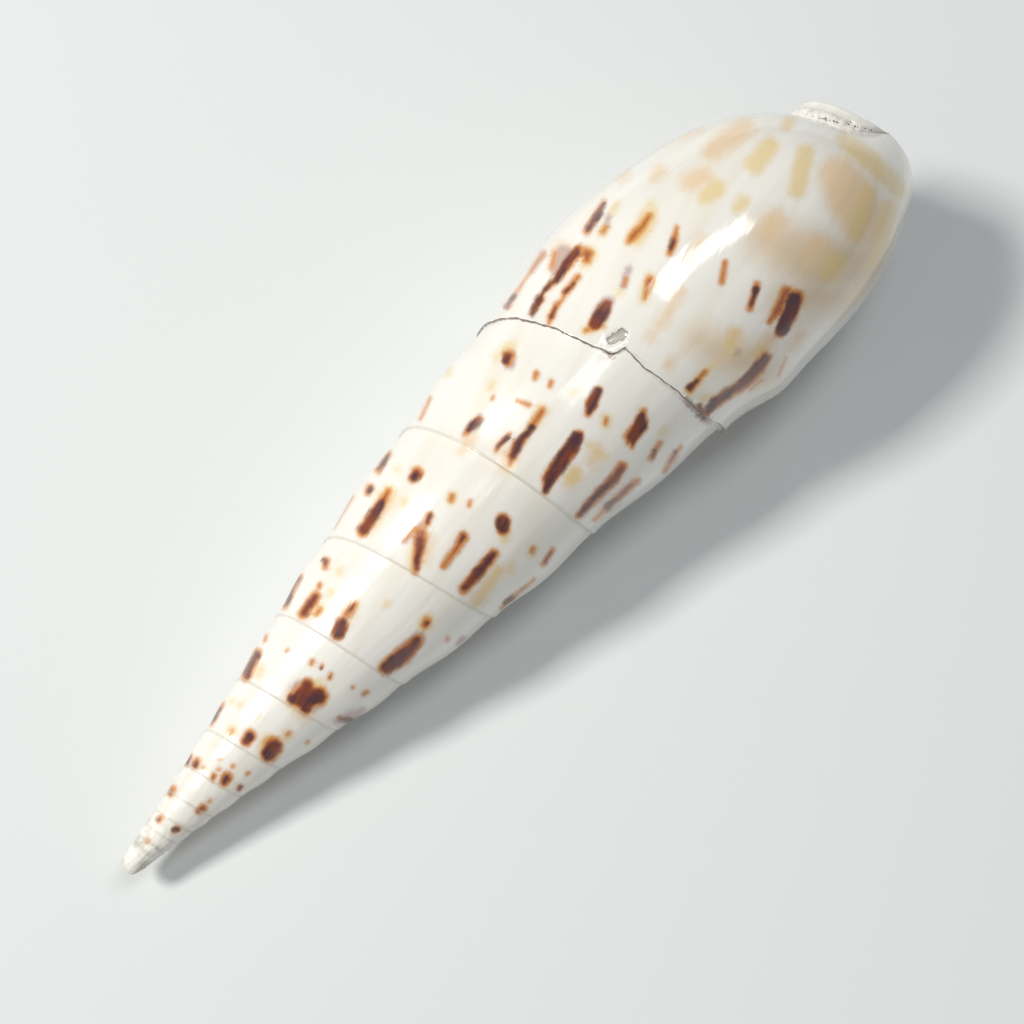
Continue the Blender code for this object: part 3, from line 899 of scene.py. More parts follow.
# Strokes seen in the photograph: x, y and width in its pixels, along each stroke
SEEN: dict[Tone, tuple[Stroke, ...]] = {
    Tone.CORE: (
        # Last whorl, row at the suture
        ((514, 296, 3), (507, 307, 5)),
        ((577, 251, 8), (566, 264, 8), (556, 280, 6), (546, 289, 4), (543, 293, 3),
         (540, 299, 9), (535, 308, 6), (532, 314, 3)), ((573, 284, 4), (566, 292, 5)),
        ((555, 309, 4), (551, 316, 5)), ((607, 304, 10), (601, 315, 14), (594, 324, 12)),
        # Last whorl, row of its middle
        ((604, 203, 4), (596, 216, 7), (588, 228, 6)), ((674, 241, 4), (671, 250, 4)),
        ((756, 289, 4), (751, 304, 5)), ((795, 300, 13), (789, 315, 15), (782, 330, 12)),
        ((700, 406, 3), (704, 417, 3)), ((696, 381, 4), (690, 388, 6)),
        ((765, 357, 8), (758, 368, 11), (745, 381, 9), (730, 391, 9), (715, 402, 9), (708, 412, 6)),
        # Whorl before it
        ((506, 356, 8), (505, 361, 5)), ((532, 427, 4), (518, 443, 9), (512, 455, 9)),
        ((507, 438, 5), (499, 446, 5)), ((598, 391, 8), (592, 402, 12), (589, 412, 6)),
        ((578, 436, 10), (572, 447, 13), (560, 462, 13), (550, 478, 12), (546, 489, 6)),
        ((642, 415, 6), (640, 425, 13), (632, 436, 13), (633, 444, 5)),
        ((621, 469, 9), (614, 479, 9), (600, 492, 8), (590, 503, 7), (580, 514, 5)),
        ((632, 485, 4), (622, 495, 5), (606, 508, 5)), ((654, 452, 4), (652, 456, 4)),
        ((676, 453, 4), (670, 462, 4)), ((479, 419, 6), (474, 424, 7), (468, 430, 5)),
        # Third whorl
        ((387, 456, 4), (379, 469, 5)), ((417, 475, 8), (414, 477, 6)),
        ((370, 489, 5), (369, 491, 4)), ((381, 504, 6), (374, 515, 11), (364, 529, 11)),
        ((429, 517, 4), (428, 521, 4)), ((420, 540, 11), (418, 556, 9), (417, 568, 5)),
        ((463, 537, 5), (460, 542, 4)), ((503, 522, 14), (503, 526, 13)),
        ((492, 556, 9), (479, 572, 11), (466, 586, 9)), ((551, 552, 3), (545, 561, 4)),
        ((526, 586, 2.5), (505, 603, 3)),
        # Fourth whorl
        ((326, 562, 6), (325, 565, 5)), ((315, 598, 8), (305, 612, 9)),
        ((341, 625, 13), (339, 632, 13)), ((428, 623, 3.5), (426, 624, 3)),
        ((416, 642, 9), (402, 656, 14), (388, 667, 13)), ((299, 578, 4), (286, 603, 6)),
        ((353, 606, 4), (351, 609, 4)),
        # Fifth whorl and on towards the apex
        ((257, 655, 5), (247, 675, 7)), ((294, 699, 11), (304, 697, 21), (318, 696, 15)),
        ((307, 686, 12), (306, 707, 11)), ((322, 667, 3), (321, 668, 3)),
        ((331, 676, 3), (330, 677, 3)), ((340, 718, 4), (352, 720, 3)),
        ((219, 709, 3), (212, 722, 4)), ((249, 738, 8), (246, 741, 8)),
        ((273, 749, 16), (270, 753, 14)), ((196, 763, 6), (195, 765, 6)),
        ((226, 779, 8), (224, 781, 7)), ((214, 777, 4), (213, 778, 3)),
        ((171, 791, 5), (170, 793, 4)), ((202, 809, 6), (199, 810, 5)),
        ((240, 788, 4), (239, 789, 3)), ((160, 819, 4), (159, 820, 4)),
        ((176, 829, 5), (174, 830, 4)), ((189, 758, 4), (187, 762, 4)),
    ),
    Tone.RUST: (
        ((543, 254, 7), (534, 267, 5), (525, 280, 3), (514, 296, 5), (507, 307, 7)),
        ((555, 253, 6), (551, 269, 5)),
        ((579, 249, 10), (568, 264, 12), (557, 279, 8), (545, 290, 6)),
        ((587, 254, 14), (587, 260, 9)),
        ((578, 277, 8), (566, 292, 9), (563, 300, 4), (556, 306, 8), (551, 317, 9), (549, 323, 5)),
        ((602, 326, 6), (586, 330, 6)), ((604, 201, 5), (596, 216, 9), (587, 231, 9)),
        ((606, 227, 5), (603, 232, 6)),
        ((649, 216, 8), (641, 228, 9), (632, 237, 10), (629, 242, 6)),
        ((677, 228, 5), (674, 242, 9), (670, 253, 8)), ((626, 279, 5), (624, 285, 5)),
        ((650, 281, 11), (647, 290, 7), (645, 298, 4)), ((725, 262, 6), (722, 282, 7)),
        ((757, 284, 8), (750, 308, 9)), ((786, 291, 12), (777, 311, 12), (769, 322, 6)),
        ((797, 296, 15), (789, 315, 18), (780, 333, 12)),
        ((705, 372, 6), (697, 381, 7), (690, 389, 9)),
        ((766, 356, 11), (758, 369, 14), (745, 383, 12), (730, 393, 12), (715, 403, 12),
         (706, 413, 8)), ((745, 418, 2), (770, 400, 2)), ((750, 390, 1.5), (763, 379, 1.5)),
        ((778, 376, 2), (786, 358, 2)), ((509, 357, 14), (508, 362, 10)),
        ((536, 374, 8), (535, 378, 6)), ((551, 382, 6), (550, 386, 6)),
        ((493, 397, 4), (492, 399, 4)), ((518, 401, 6), (529, 405, 6)),
        ((467, 432, 5), (465, 434, 5)),
        ((542, 411, 10), (528, 432, 8), (517, 446, 12), (512, 456, 11), (510, 464, 6)),
        ((510, 434, 5), (500, 443, 6), (496, 450, 5)),
        ((598, 390, 9), (592, 403, 14), (588, 414, 8)),
        ((578, 435, 12), (571, 448, 16), (559, 463, 16), (549, 478, 15), (545, 492, 7)),
        ((643, 412, 10), (640, 426, 16), (631, 437, 16), (632, 447, 6)),
        ((606, 419, 5), (605, 423, 5)),
        ((622, 466, 11), (614, 479, 12), (600, 493, 11), (589, 504, 10), (578, 516, 6)),
        ((638, 480, 6), (625, 492, 8), (608, 507, 7), (595, 520, 4)),
        ((660, 443, 6), (651, 458, 7)), ((681, 447, 5), (672, 459, 8), (664, 471, 5)),
        ((430, 398, 4), (420, 419, 4)), ((389, 453, 6), (378, 471, 7)),
        ((417, 473, 14), (414, 478, 10)), ((370, 488, 10), (368, 493, 8)),
        ((388, 492, 8), (377, 510, 12), (363, 531, 14)), ((452, 496, 7), (451, 500, 7)),
        ((470, 501, 5), (469, 505, 5)), ((429, 516, 10), (427, 523, 9)),
        ((415, 528, 5), (404, 540, 5)), ((421, 534, 15), (418, 553, 13), (415, 572, 8)),
        ((463, 537, 12), (458, 546, 9), (443, 566, 7)), ((503, 521, 17), (503, 529, 15)),
        ((494, 554, 12), (479, 572, 14), (464, 589, 12)), ((533, 549, 6), (532, 552, 5)),
        ((553, 550, 6), (543, 564, 6)), ((333, 527, 4), (352, 497, 4)),
        ((534, 579, 3), (501, 608, 3.5)), ((326, 561, 9), (325, 567, 7)),
        ((320, 585, 6), (319, 588, 5)), ((316, 596, 12), (303, 614, 12)),
        ((320, 610, 7), (317, 614, 6)), ((353, 605, 10), (347, 613, 9)),
        ((341, 624, 16), (338, 634, 15)), ((427, 622, 10), (425, 625, 9)),
        ((418, 640, 13), (402, 656, 19), (385, 668, 16)), ((448, 638, 4), (447, 640, 4)),
        ((300, 576, 6), (284, 606, 8)), ((266, 636, 4), (265, 640, 4)),
        ((258, 652, 9), (246, 677, 11)), ((288, 650, 4), (287, 651, 4)),
        ((312, 661, 6), (311, 664, 5)), ((322, 666, 5), (321, 668, 4)),
        ((331, 675, 6), (330, 678, 5)), ((294, 699, 16), (305, 697, 28), (319, 696, 20)),
        ((308, 684, 14), (305, 709, 14)), ((353, 687, 4), (352, 688, 3)),
        ((367, 692, 5), (364, 694, 5)), ((222, 704, 6), (211, 724, 6)),
        ((232, 731, 5), (231, 734, 5)), ((250, 736, 15), (246, 741, 13)),
        ((273, 747, 22), (269, 754, 19)), ((289, 733, 5), (287, 735, 5)),
        ((308, 742, 4), (307, 743, 3)), ((197, 761, 9), (195, 766, 8)),
        ((203, 768, 5), (202, 769, 4)), ((220, 758, 5), (219, 759, 4)),
        ((214, 776, 7), (213, 779, 6)), ((227, 777, 13), (224, 782, 11)),
        ((219, 769, 5), (218, 770, 4)), ((233, 766, 5), (232, 767, 4)),
        ((248, 773, 5), (247, 774, 4)), ((240, 787, 7), (239, 789, 6)),
        ((173, 789, 9), (171, 793, 8)), ((203, 808, 10), (199, 811, 8)),
        ((210, 801, 5), (209, 802, 4)), ((161, 818, 7), (159, 821, 6)),
        ((178, 828, 7), (174, 831, 6)), ((148, 841, 5), (147, 842, 4)),
        ((190, 756, 6), (186, 764, 6)),
    ),
    Tone.OCHRE: (
        ((590, 255, 16), (585, 266, 7)), ((617, 203, 5), (611, 214, 6)),
        ((605, 228, 8), (603, 233, 8)),
        ((652, 205, 8), (648, 217, 14), (640, 230, 15), (632, 240, 11)),
        ((620, 291, 8), (619, 294, 6)), ((650, 280, 14), (646, 292, 12), (644, 300, 9)),
        ((756, 355, 10), (760, 350, 8)), ((720, 361, 5), (708, 370, 8), (690, 390, 10)),
        ((703, 399, 7), (720, 395, 7)), ((733, 334, 11), (730, 347, 12)),
        ((586, 330, 9), (602, 326, 8)),
        # Blocks of the base
        ((770, 146, 18), (755, 165, 20)), ((805, 153, 18), (797, 190, 18)),
        ((868, 190, 12), (862, 212, 14), (855, 236, 13)),
        ((889, 208, 18), (881, 243, 18), (871, 262, 12)),
        ((843, 138, 14), (852, 147, 19), (872, 162, 20), (899, 190, 18)),
        ((790, 121, 12), (786, 126, 10)), ((743, 202, 13), (738, 208, 12)),
        ((835, 262, 22), (829, 274, 18)), ((716, 188, 20), (706, 196, 16)),
        # Spire
        ((512, 346, 9), (505, 352, 12)), ((497, 355, 6), (495, 358, 6)),
        ((575, 391, 5), (573, 394, 4)), ((492, 384, 6), (491, 388, 6)),
        ((542, 409, 12), (533, 424, 9)), ((512, 462, 9), (509, 468, 7)),
        ((590, 445, 7), (603, 455, 5)), ((575, 473, 14), (571, 478, 12)),
        ((606, 418, 9), (605, 424, 9)), ((665, 430, 6), (663, 433, 5)),
        ((449, 371, 6), (448, 374, 5)), ((398, 468, 5), (397, 471, 4)),
        ((389, 491, 11), (383, 502, 12)), ((404, 501, 6), (403, 504, 5)),
        ((452, 495, 10), (451, 501, 9)), ((505, 534, 12), (504, 538, 9)),
        ((497, 569, 6), (486, 586, 8), (474, 604, 6)), ((512, 567, 7), (511, 570, 6)),
        ((533, 549, 9), (531, 553, 8)), ((412, 552, 8), (411, 568, 6)),
        ((340, 570, 6), (339, 573, 5)), ((331, 592, 6), (330, 595, 5)),
        ((320, 608, 10), (318, 614, 8)), ((387, 603, 6), (386, 605, 5)),
        ((260, 669, 8), (258, 674, 7)), ((353, 604, 13), (351, 609, 11)),
        ((427, 620, 13), (424, 626, 11)), ((232, 700, 4), (231, 701, 4)),
        ((240, 705, 5), (239, 706, 4)), ((257, 715, 5), (256, 716, 4)),
        ((232, 730, 8), (231, 735, 7)), ((287, 734, 8), (286, 736, 7)),
        ((268, 745, 20), (264, 752, 14)), ((318, 686, 14), (322, 700, 10)),
    ),
    Tone.PEACH: (
        ((744, 127, 22), (730, 138, 24), (712, 152, 20)),
        ((838, 174, 36), (851, 197, 46), (866, 226, 40)), ((640, 150, 8), (700, 128, 8)),
        ((690, 182, 20), (702, 176, 18)), ((626, 172, 10), (622, 178, 9)),
        ((660, 171, 12), (656, 177, 10)), ((775, 222, 22), (770, 230, 18)),
        ((818, 248, 26), (812, 262, 20)), ((858, 292, 14), (854, 299, 11)),
        ((670, 361, 8), (668, 365, 7)), ((653, 334, 9), (651, 339, 8)),
        ((680, 292, 11), (661, 325, 10)), ((701, 239, 8), (690, 262, 8)),
        ((562, 250, 18), (555, 268, 14)), ((737, 351, 8), (735, 355, 7)),
        ((770, 340, 16), (762, 352, 14)), ((735, 336, 16), (730, 348, 14)),
        ((648, 222, 18), (636, 238, 16)), ((573, 475, 18), (569, 481, 14)),
        ((598, 452, 14), (592, 462, 11)), ((388, 500, 18), (370, 525, 14)),
        ((500, 570, 12), (480, 600, 11)), ((300, 700, 30), (304, 712, 18)),
        ((430, 538, 8), (425, 560, 8)), ((470, 440, 12), (461, 452, 9)),
        ((348, 616, 14), (345, 622, 12)), ((800, 335, 12), (792, 348, 10)),
        ((505, 455, 14), (506, 468, 10)),
    ),
    # Painted shade: warm darker strokes over the last whorl's right flank and lower side, which
    # face away from the light
    Tone.PAINTED_SHADE: (
        ((770, 238, 38), (815, 264, 54), (868, 268, 46)), ((700, 340, 20), (760, 372, 30)),
        ((790, 300, 30), (835, 296, 34)), ((848, 192, 30), (862, 218, 36)),
    ),
    Tone.STAIN: (
        ((604, 352, 6), (612, 356, 8)), ((686, 400, 7), (699, 411, 12), (708, 420, 9)),
    ),
    Tone.PLUM: (
        ((564, 254, 20), (557, 268, 15)), ((608, 302, 14), (600, 316, 18), (592, 325, 10)),
        ((609, 217, 6), (607, 225, 6)), ((628, 269, 8), (623, 286, 8)),
        ((738, 351, 6), (736, 354, 5)), ((509, 358, 16), (510, 364, 12)),
        ((480, 418, 9), (474, 425, 10), (467, 431, 8)),
        ((577, 438, 15), (566, 455, 17), (552, 476, 14)), ((384, 499, 10), (377, 510, 10)),
        ((423, 526, 8), (412, 535, 7), (403, 541, 6)), ((350, 612, 8), (344, 619, 9)),
        ((419, 638, 14), (403, 655, 20), (388, 667, 15)), ((300, 690, 20), (312, 700, 24)),
        ((337, 722, 9), (350, 717, 12), (362, 710, 8)),
        ((622, 468, 11), (600, 493, 13), (580, 514, 8)), ((636, 482, 9), (608, 507, 10)),
        ((543, 254, 8), (532, 270, 6)), ((462, 639, 8), (459, 643, 7)),
        ((790, 312, 14), (784, 328, 12)), ((415, 475, 12), (412, 478, 9)),
        ((463, 537, 10), (445, 565, 9)),
    ),
}


@dataclass
class StrokeField:
    """How deep points lie inside strokes, in pixels.

    Besides the depth it keeps where each point lies by its nearest stroke: square to its line,
    past its ends, the stroke's half width and its number. The first three change evenly from
    point to point, so thin strokes stay whole on the mesh.
    """

    depth: Array
    side: Array
    past: Array
    half: Array
    number: Array
    laid: int = 0

    @classmethod
    def empty(cls, size: int, reach: float) -> StrokeField:
        """Makes a field without strokes, whose points lie `reach` outside."""
        outside, nothing = np.full(size, -reach), np.zeros(size)
        return cls(outside, nothing, nothing.copy(), outside.copy(), np.zeros(size, int))

    def lay(self, index: Array, x: Array, y: Array, stroke: Stroke) -> None:
        """Adds a stroke.

        Args:
            index: the points that it may reach.
            x: their first coordinate.
            y: their second.
            stroke: its line, with the width at each of its points.
        """
        self.laid += 1
        for (x0, y0, w0), (x1, y1, w1) in zip(stroke, stroke[1:]):
            run_x, run_y = x1 - x0, y1 - y0
            length = math.hypot(run_x, run_y)
            share = ((x - x0) * run_x + (y - y0) * run_y) / length**2
            inside = np.clip(share, 0, 1)
            past = (share - inside) * length
            side = ((x - x0) * run_y - (y - y0) * run_x) / length
            half = (w0 + (w1 - w0) * inside) / 2
            depth = half - np.hypot(side, past)
            nearer = depth > self.depth[index]
            at = index[nearer]
            self.depth[at] = depth[nearer]
            self.side[at] = side[nearer]
            self.past[at] = past[nearer]
            self.half[at] = half[nearer]
            self.number[at] = self.laid

    def sink(self, by: Array, reach: float) -> None:
        """Takes some depth away, down to `reach` outside."""
        self.depth = np.maximum(self.depth - by, -reach)
        self.half = np.maximum(self.half - by, -reach)

    def widen(self, other: StrokeField, by: float) -> None:
        """Takes over another field, made wider, wherever that is deeper."""
        deeper = other.depth + by > self.depth
        self.depth = np.where(deeper, other.depth + by, self.depth)
        self.side = np.where(deeper, other.side, self.side)
        self.past = np.where(deeper, other.past, self.past)
        self.half = np.where(deeper, other.half + by, self.half)
        self.number = np.where(deeper, -other.number, self.number)

    def lift(self, neighbours: Array, most: float) -> Array:
        """Gives how much deeper than at the mesh's points a stroke may be between them.

        Args:
            neighbours: pairs of points that an edge of the mesh joins.
            most: the allowance well inside the reach of one stroke, in pixels.

        Returns:
            The allowance at each point: none where the nearest stroke changes.
        """
        lift = np.full(len(self.number), most)
        differ = self.number[neighbours[:, 0]] != self.number[neighbours[:, 1]]
        lift[neighbours[differ].ravel()] = 0.0
        return lift


@dataclass
class MeshPoints:
    """The points of the shell's mesh, and what the photograph shows of them.

    Attributes:
        rows: their places in the shell's own frame.
        known: their turn, place on the growing edge and zone.
    """

    camera: PhotoCamera
    rows: Array
    normals: Array
    known: Array

    def __post_init__(self) -> None:
        """Finds where the points lie in the photograph, and how they face the camera."""
        self.turn, self.v, self.zone = self.known.T
        self.height = self.rows[:, 0]
        self.radius = np.hypot(self.rows[:, 1], self.rows[:, 2])
        self.outside = self.zone == Zone.OUTSIDE.value
        self.x, self.y = self.camera.pixels(self.rows)
        self.facing = self.camera.facing(self.rows, self.normals)

    def inside(self, strokes: tuple[Stroke, ...]) -> Array:
        """Gives how deep the seen points lie inside strokes of the photograph, in pixels."""
        depths = StrokeField.empty(len(self.rows), STROKE_REACH)
        index = np.flatnonzero(self.outside & (self.facing > 0))
        for stroke in strokes:
            depths.lay(index, self.x[index], self.y[index], stroke)
        return depths.depth


@dataclass
class HiddenMarkings:
    """The markings of the side that the photograph hides, laid in rows as on the seen side.

    Heights on a whorl are shares of it, counted from its suture or back from the next. Widths
    are in the photograph's pixels. Pairs give the least and the most of what is drawn.

    Attributes:
        whorls: the first one with markings, and the one after the last.
        span: the part of a turn that they fill.
        full_height: height of a whorl from which on its marks have their full width.
        big_step, small_step: turns between the big strokes above a suture, and between the
            small spots of the middle of a whorl.
        big_spacing, small_spacing: what those are multiplied by.
        big_slant, small_slant, block_slant: how far a mark's top lies back, in turns.
        big_foot: how far its foot stands from the next suture.
        big_top, small_top: its top's width, relative to the foot's.
        rim: how much wider a big stroke's rim is.
        haze, haze_share: how much wider the dull glaze over it is, and how many have that.
        small_rust: how many of the spots are rust; the others are ochre.
        core_from, core_inset: width of the spots that have a dark core, and how much narrower
            the core is.
        block_turns: first turn, end and step of the pale blocks on the base.
        block_shift_mm, block_turn_shift: how far their heights and turns vary.
        block_rust: the width of a rust one, relative to the others.
    """

    form: ShellForm
    seed: int = 11
    whorls: tuple[int, int] = (-9, 1)
    span: Pair = (0.55, 0.98)
    full_height: float = 18 * MM
    big_step: float = 0.105
    big_spacing: Pair = (0.7, 1.35)
    big_slant: Pair = (-0.012, 0.0)
    big_foot: Pair = (0.02, 0.1)
    big_length: Pair = (0.16, 0.34)
    big_width: Pair = (7, 14)
    big_top: float = 0.6
    rim: float = 3.5
    haze: float = 4
    haze_share: float = 0.5
    small_step: float = 0.075
    small_spacing: Pair = (0.6, 1.5)
    small_place: Pair = (0.18, 0.6)
    small_length: Pair = (0.02, 0.1)
    small_width: Pair = (4, 9)
    small_top: float = 0.7
    small_slant: float = 0.003
    small_rust: float = 0.7
    core_from: float = 6
    core_inset: float = 3
    block_turns: Triple = (-0.42, 0.0, 0.062)
    block_heights_mm: Numbers = (124, 139, 152)
    block_shift_mm: Pair = (-4, 4)
    block_turn_shift: Pair = (-0.02, 0.02)
    block_width: Pair = (8, 20)
    block_rust: float = 0.55
    block_slant: float = 0.008
    block_length: float = 5 * MM

    def __post_init__(self) -> None:
        """Starts the random draws and the list of what is laid."""
        self.random = np.random.default_rng(self.seed)
        self.laid: list[tuple[Tone, Stroke]] = []

    def lay(self, tone: Tone, line: Stroke, wider: float = 0) -> None:
        """Lays a stroke, made wider all along."""
        self.laid.append((tone, tuple((turn, height, w + wider) for turn, height, w in line)))

    def whorl_at(self, turn: float) -> Triple:
        """Gives a whorl's start and end and how much of the full width its marks have."""
        start, end = float(self.form.suture(turn)), float(self.form.suture(turn + 1))
        return start, end, min(1.0, (end - start) / self.full_height)

    def big_stroke(self, turn: float) -> None:
        """Lays a big dark stroke with its rim above the next suture."""
        start, end, wide = self.whorl_at(turn)
        tall = end - start
        slant = self.random.uniform(*self.big_slant)
        low = end - tall * self.random.uniform(*self.big_foot)
        high = low - tall * self.random.uniform(*self.big_length)
        width = wide * self.random.uniform(*self.big_width)
        line = ((turn + slant, high, width * self.big_top), (turn, low, width))
        self.lay(Tone.CORE, line)
        self.lay(Tone.RUST, line, self.rim)
        if self.random.random() < self.haze_share:
            self.lay(Tone.PLUM, line, self.haze)

    def small_spot(self, turn: float) -> None:
        """Lays a small spot on the middle of a whorl."""
        start, end, wide = self.whorl_at(turn)
        tall = end - start
        at = start + tall * self.random.uniform(*self.small_place)
        long = tall * self.random.uniform(*self.small_length)
        width = wide * self.random.uniform(*self.small_width)
        top = (turn - self.small_slant, at, width * self.small_top)
        line = (top, (turn, at + long, width))
        self.lay(Tone.RUST if self.random.random() < self.small_rust else Tone.OCHRE, line)
        if width > self.core_from:
            self.lay(Tone.CORE, line, -self.core_inset)

    def block(self, turn: float, height_mm: float) -> None:
        """Lays a pale block of the base, or a rust one."""
        at = (height_mm + self.random.uniform(*self.block_shift_mm)) * MM
        width = self.random.uniform(*self.block_width)
        tone = (Tone.PEACH, Tone.OCHRE, Tone.RUST)[int(self.random.integers(0, 3))]
        width = width * (self.block_rust if tone is Tone.RUST else 1.0)
        turned = float(turn + self.random.uniform(*self.block_turn_shift))
        top = (turned - self.block_slant, at, width)
        self.lay(tone, (top, (turned, at + self.block_length, width)))

    def strokes(self) -> list[tuple[Tone, Stroke]]:
        """Lays the strokes.

        Returns:
            The tone and the line of each, in turns, metres and the photograph's pixels.
        """
        for whorl in range(*self.whorls):
            for draw, step, spacing in (
                (self.big_stroke, self.big_step, self.big_spacing),
                (self.small_spot, self.small_step, self.small_spacing),
            ):
                turn = whorl - 1 + self.span[0]
                while turn < whorl - 1 + self.span[1]:
                    draw(turn)
                    turn += step * self.random.uniform(*spacing)
        for turn in np.arange(*self.block_turns):
            for height_mm in self.block_heights_mm:
                self.block(turn, height_mm)
        return self.laid


@dataclass
class Markings:
    """Works out what the material is told at each point of the surface.

    Attributes:
        reach: how far outside a stroke its depth is still told, in pixels.
        sharp: the tones whose strokes are told whole, with their sides and ends.
        rust_rim: how far rust reaches past a dark core, in pixels.
        lift: how much deeper a stroke may be between two points of the mesh, in pixels.
        limb_thinning: how fast strokes thin out past the shell's limb.
        seen_facing: how far past the limb a stroke that is seen goes on, as a cosine.
        hidden_facing: how far before the limb the hidden side's strokes begin.
        hidden_reach: how far round a hidden stroke its depth is told, in turns.
    """

    form: ShellForm
    points: MeshPoints
    reach: float = 30.0
    sharp: tuple[Tone, ...] = (Tone.RUST, Tone.CORE)
    rust_rim: float = 0.4
    lift: float = 2.5
    limb_thinning: float = 1.2
    seen_facing: float = -0.35
    hidden_facing: float = 0.12
    hidden_reach: float = 0.2

    def told(self, neighbours: Array) -> dict[str, Array]:
        """Gives how deep each point lies inside the strokes of each tone, in pixels.

        Args:
            neighbours: pairs of points that an edge of the mesh joins.

        Returns:
            The arrays, by their attributes' names.
        """
        points = self.points
        pixel = points.camera.pixel_size()
        past_limb = np.maximum(0, -points.facing) * points.radius / pixel * self.limb_thinning
        seen = points.outside & (points.facing > self.seen_facing)
        fields = {tone: StrokeField.empty(len(seen), self.reach) for tone in Tone}
        index = np.flatnonzero(seen)
        for tone, strokes in SEEN.items():
            for stroke in strokes:
                fields[tone].lay(index, points.x[index], points.y[index], stroke)
            fields[tone].sink(np.where(seen, past_limb, 0.0), self.reach)
        turn, height = points.turn, points.height
        hidden = points.outside & (points.facing < self.hidden_facing)
        for tone, line in HiddenMarkings(self.form).strokes():
            middle, level, _ = line[0]
            around = 2 * np.pi * float(self.form.outline(level)) / pixel
            near = np.flatnonzero(hidden & (np.abs(turn - middle) < self.hidden_reach))
            flat = tuple(((t - middle) * around, h / pixel, w) for t, h, w in line)
            fields[tone].lay(near, (turn[near] - middle) * around, height[near] / pixel, flat)
        fields[Tone.RUST].widen(fields[Tone.CORE], self.rust_rim)
        told = {tone.value: of_tone.depth for tone, of_tone in fields.items()}
        for tone in self.sharp:
            told[tone.value + "_side"] = fields[tone].side
            told[tone.value + "_past"] = fields[tone].past
            told[tone.value + "_half"] = fields[tone].half
            told[tone.value + "_lift"] = fields[tone].lift(neighbours, self.lift)
        return told


def smooth_steps(at: Array, random: np.random.Generator, spacing: float) -> Array:
    """Gives a smooth uneven line between -1 and 1.

    Args:
        at: where to read it.
        random: what its heights are drawn from.
        spacing: the distance between its drawn heights.

    Returns:
        Its height at each place.
    """
    first = at.min()
    drawn = random.uniform(-1, 1, int((at.max() - first) / spacing) + 3)
    steps = (at - first) / spacing
    before = np.floor(steps).astype(int)
    share = ramp(steps - before, 0, 1)
    return drawn[before] * (1 - share) + drawn[before + 1] * share


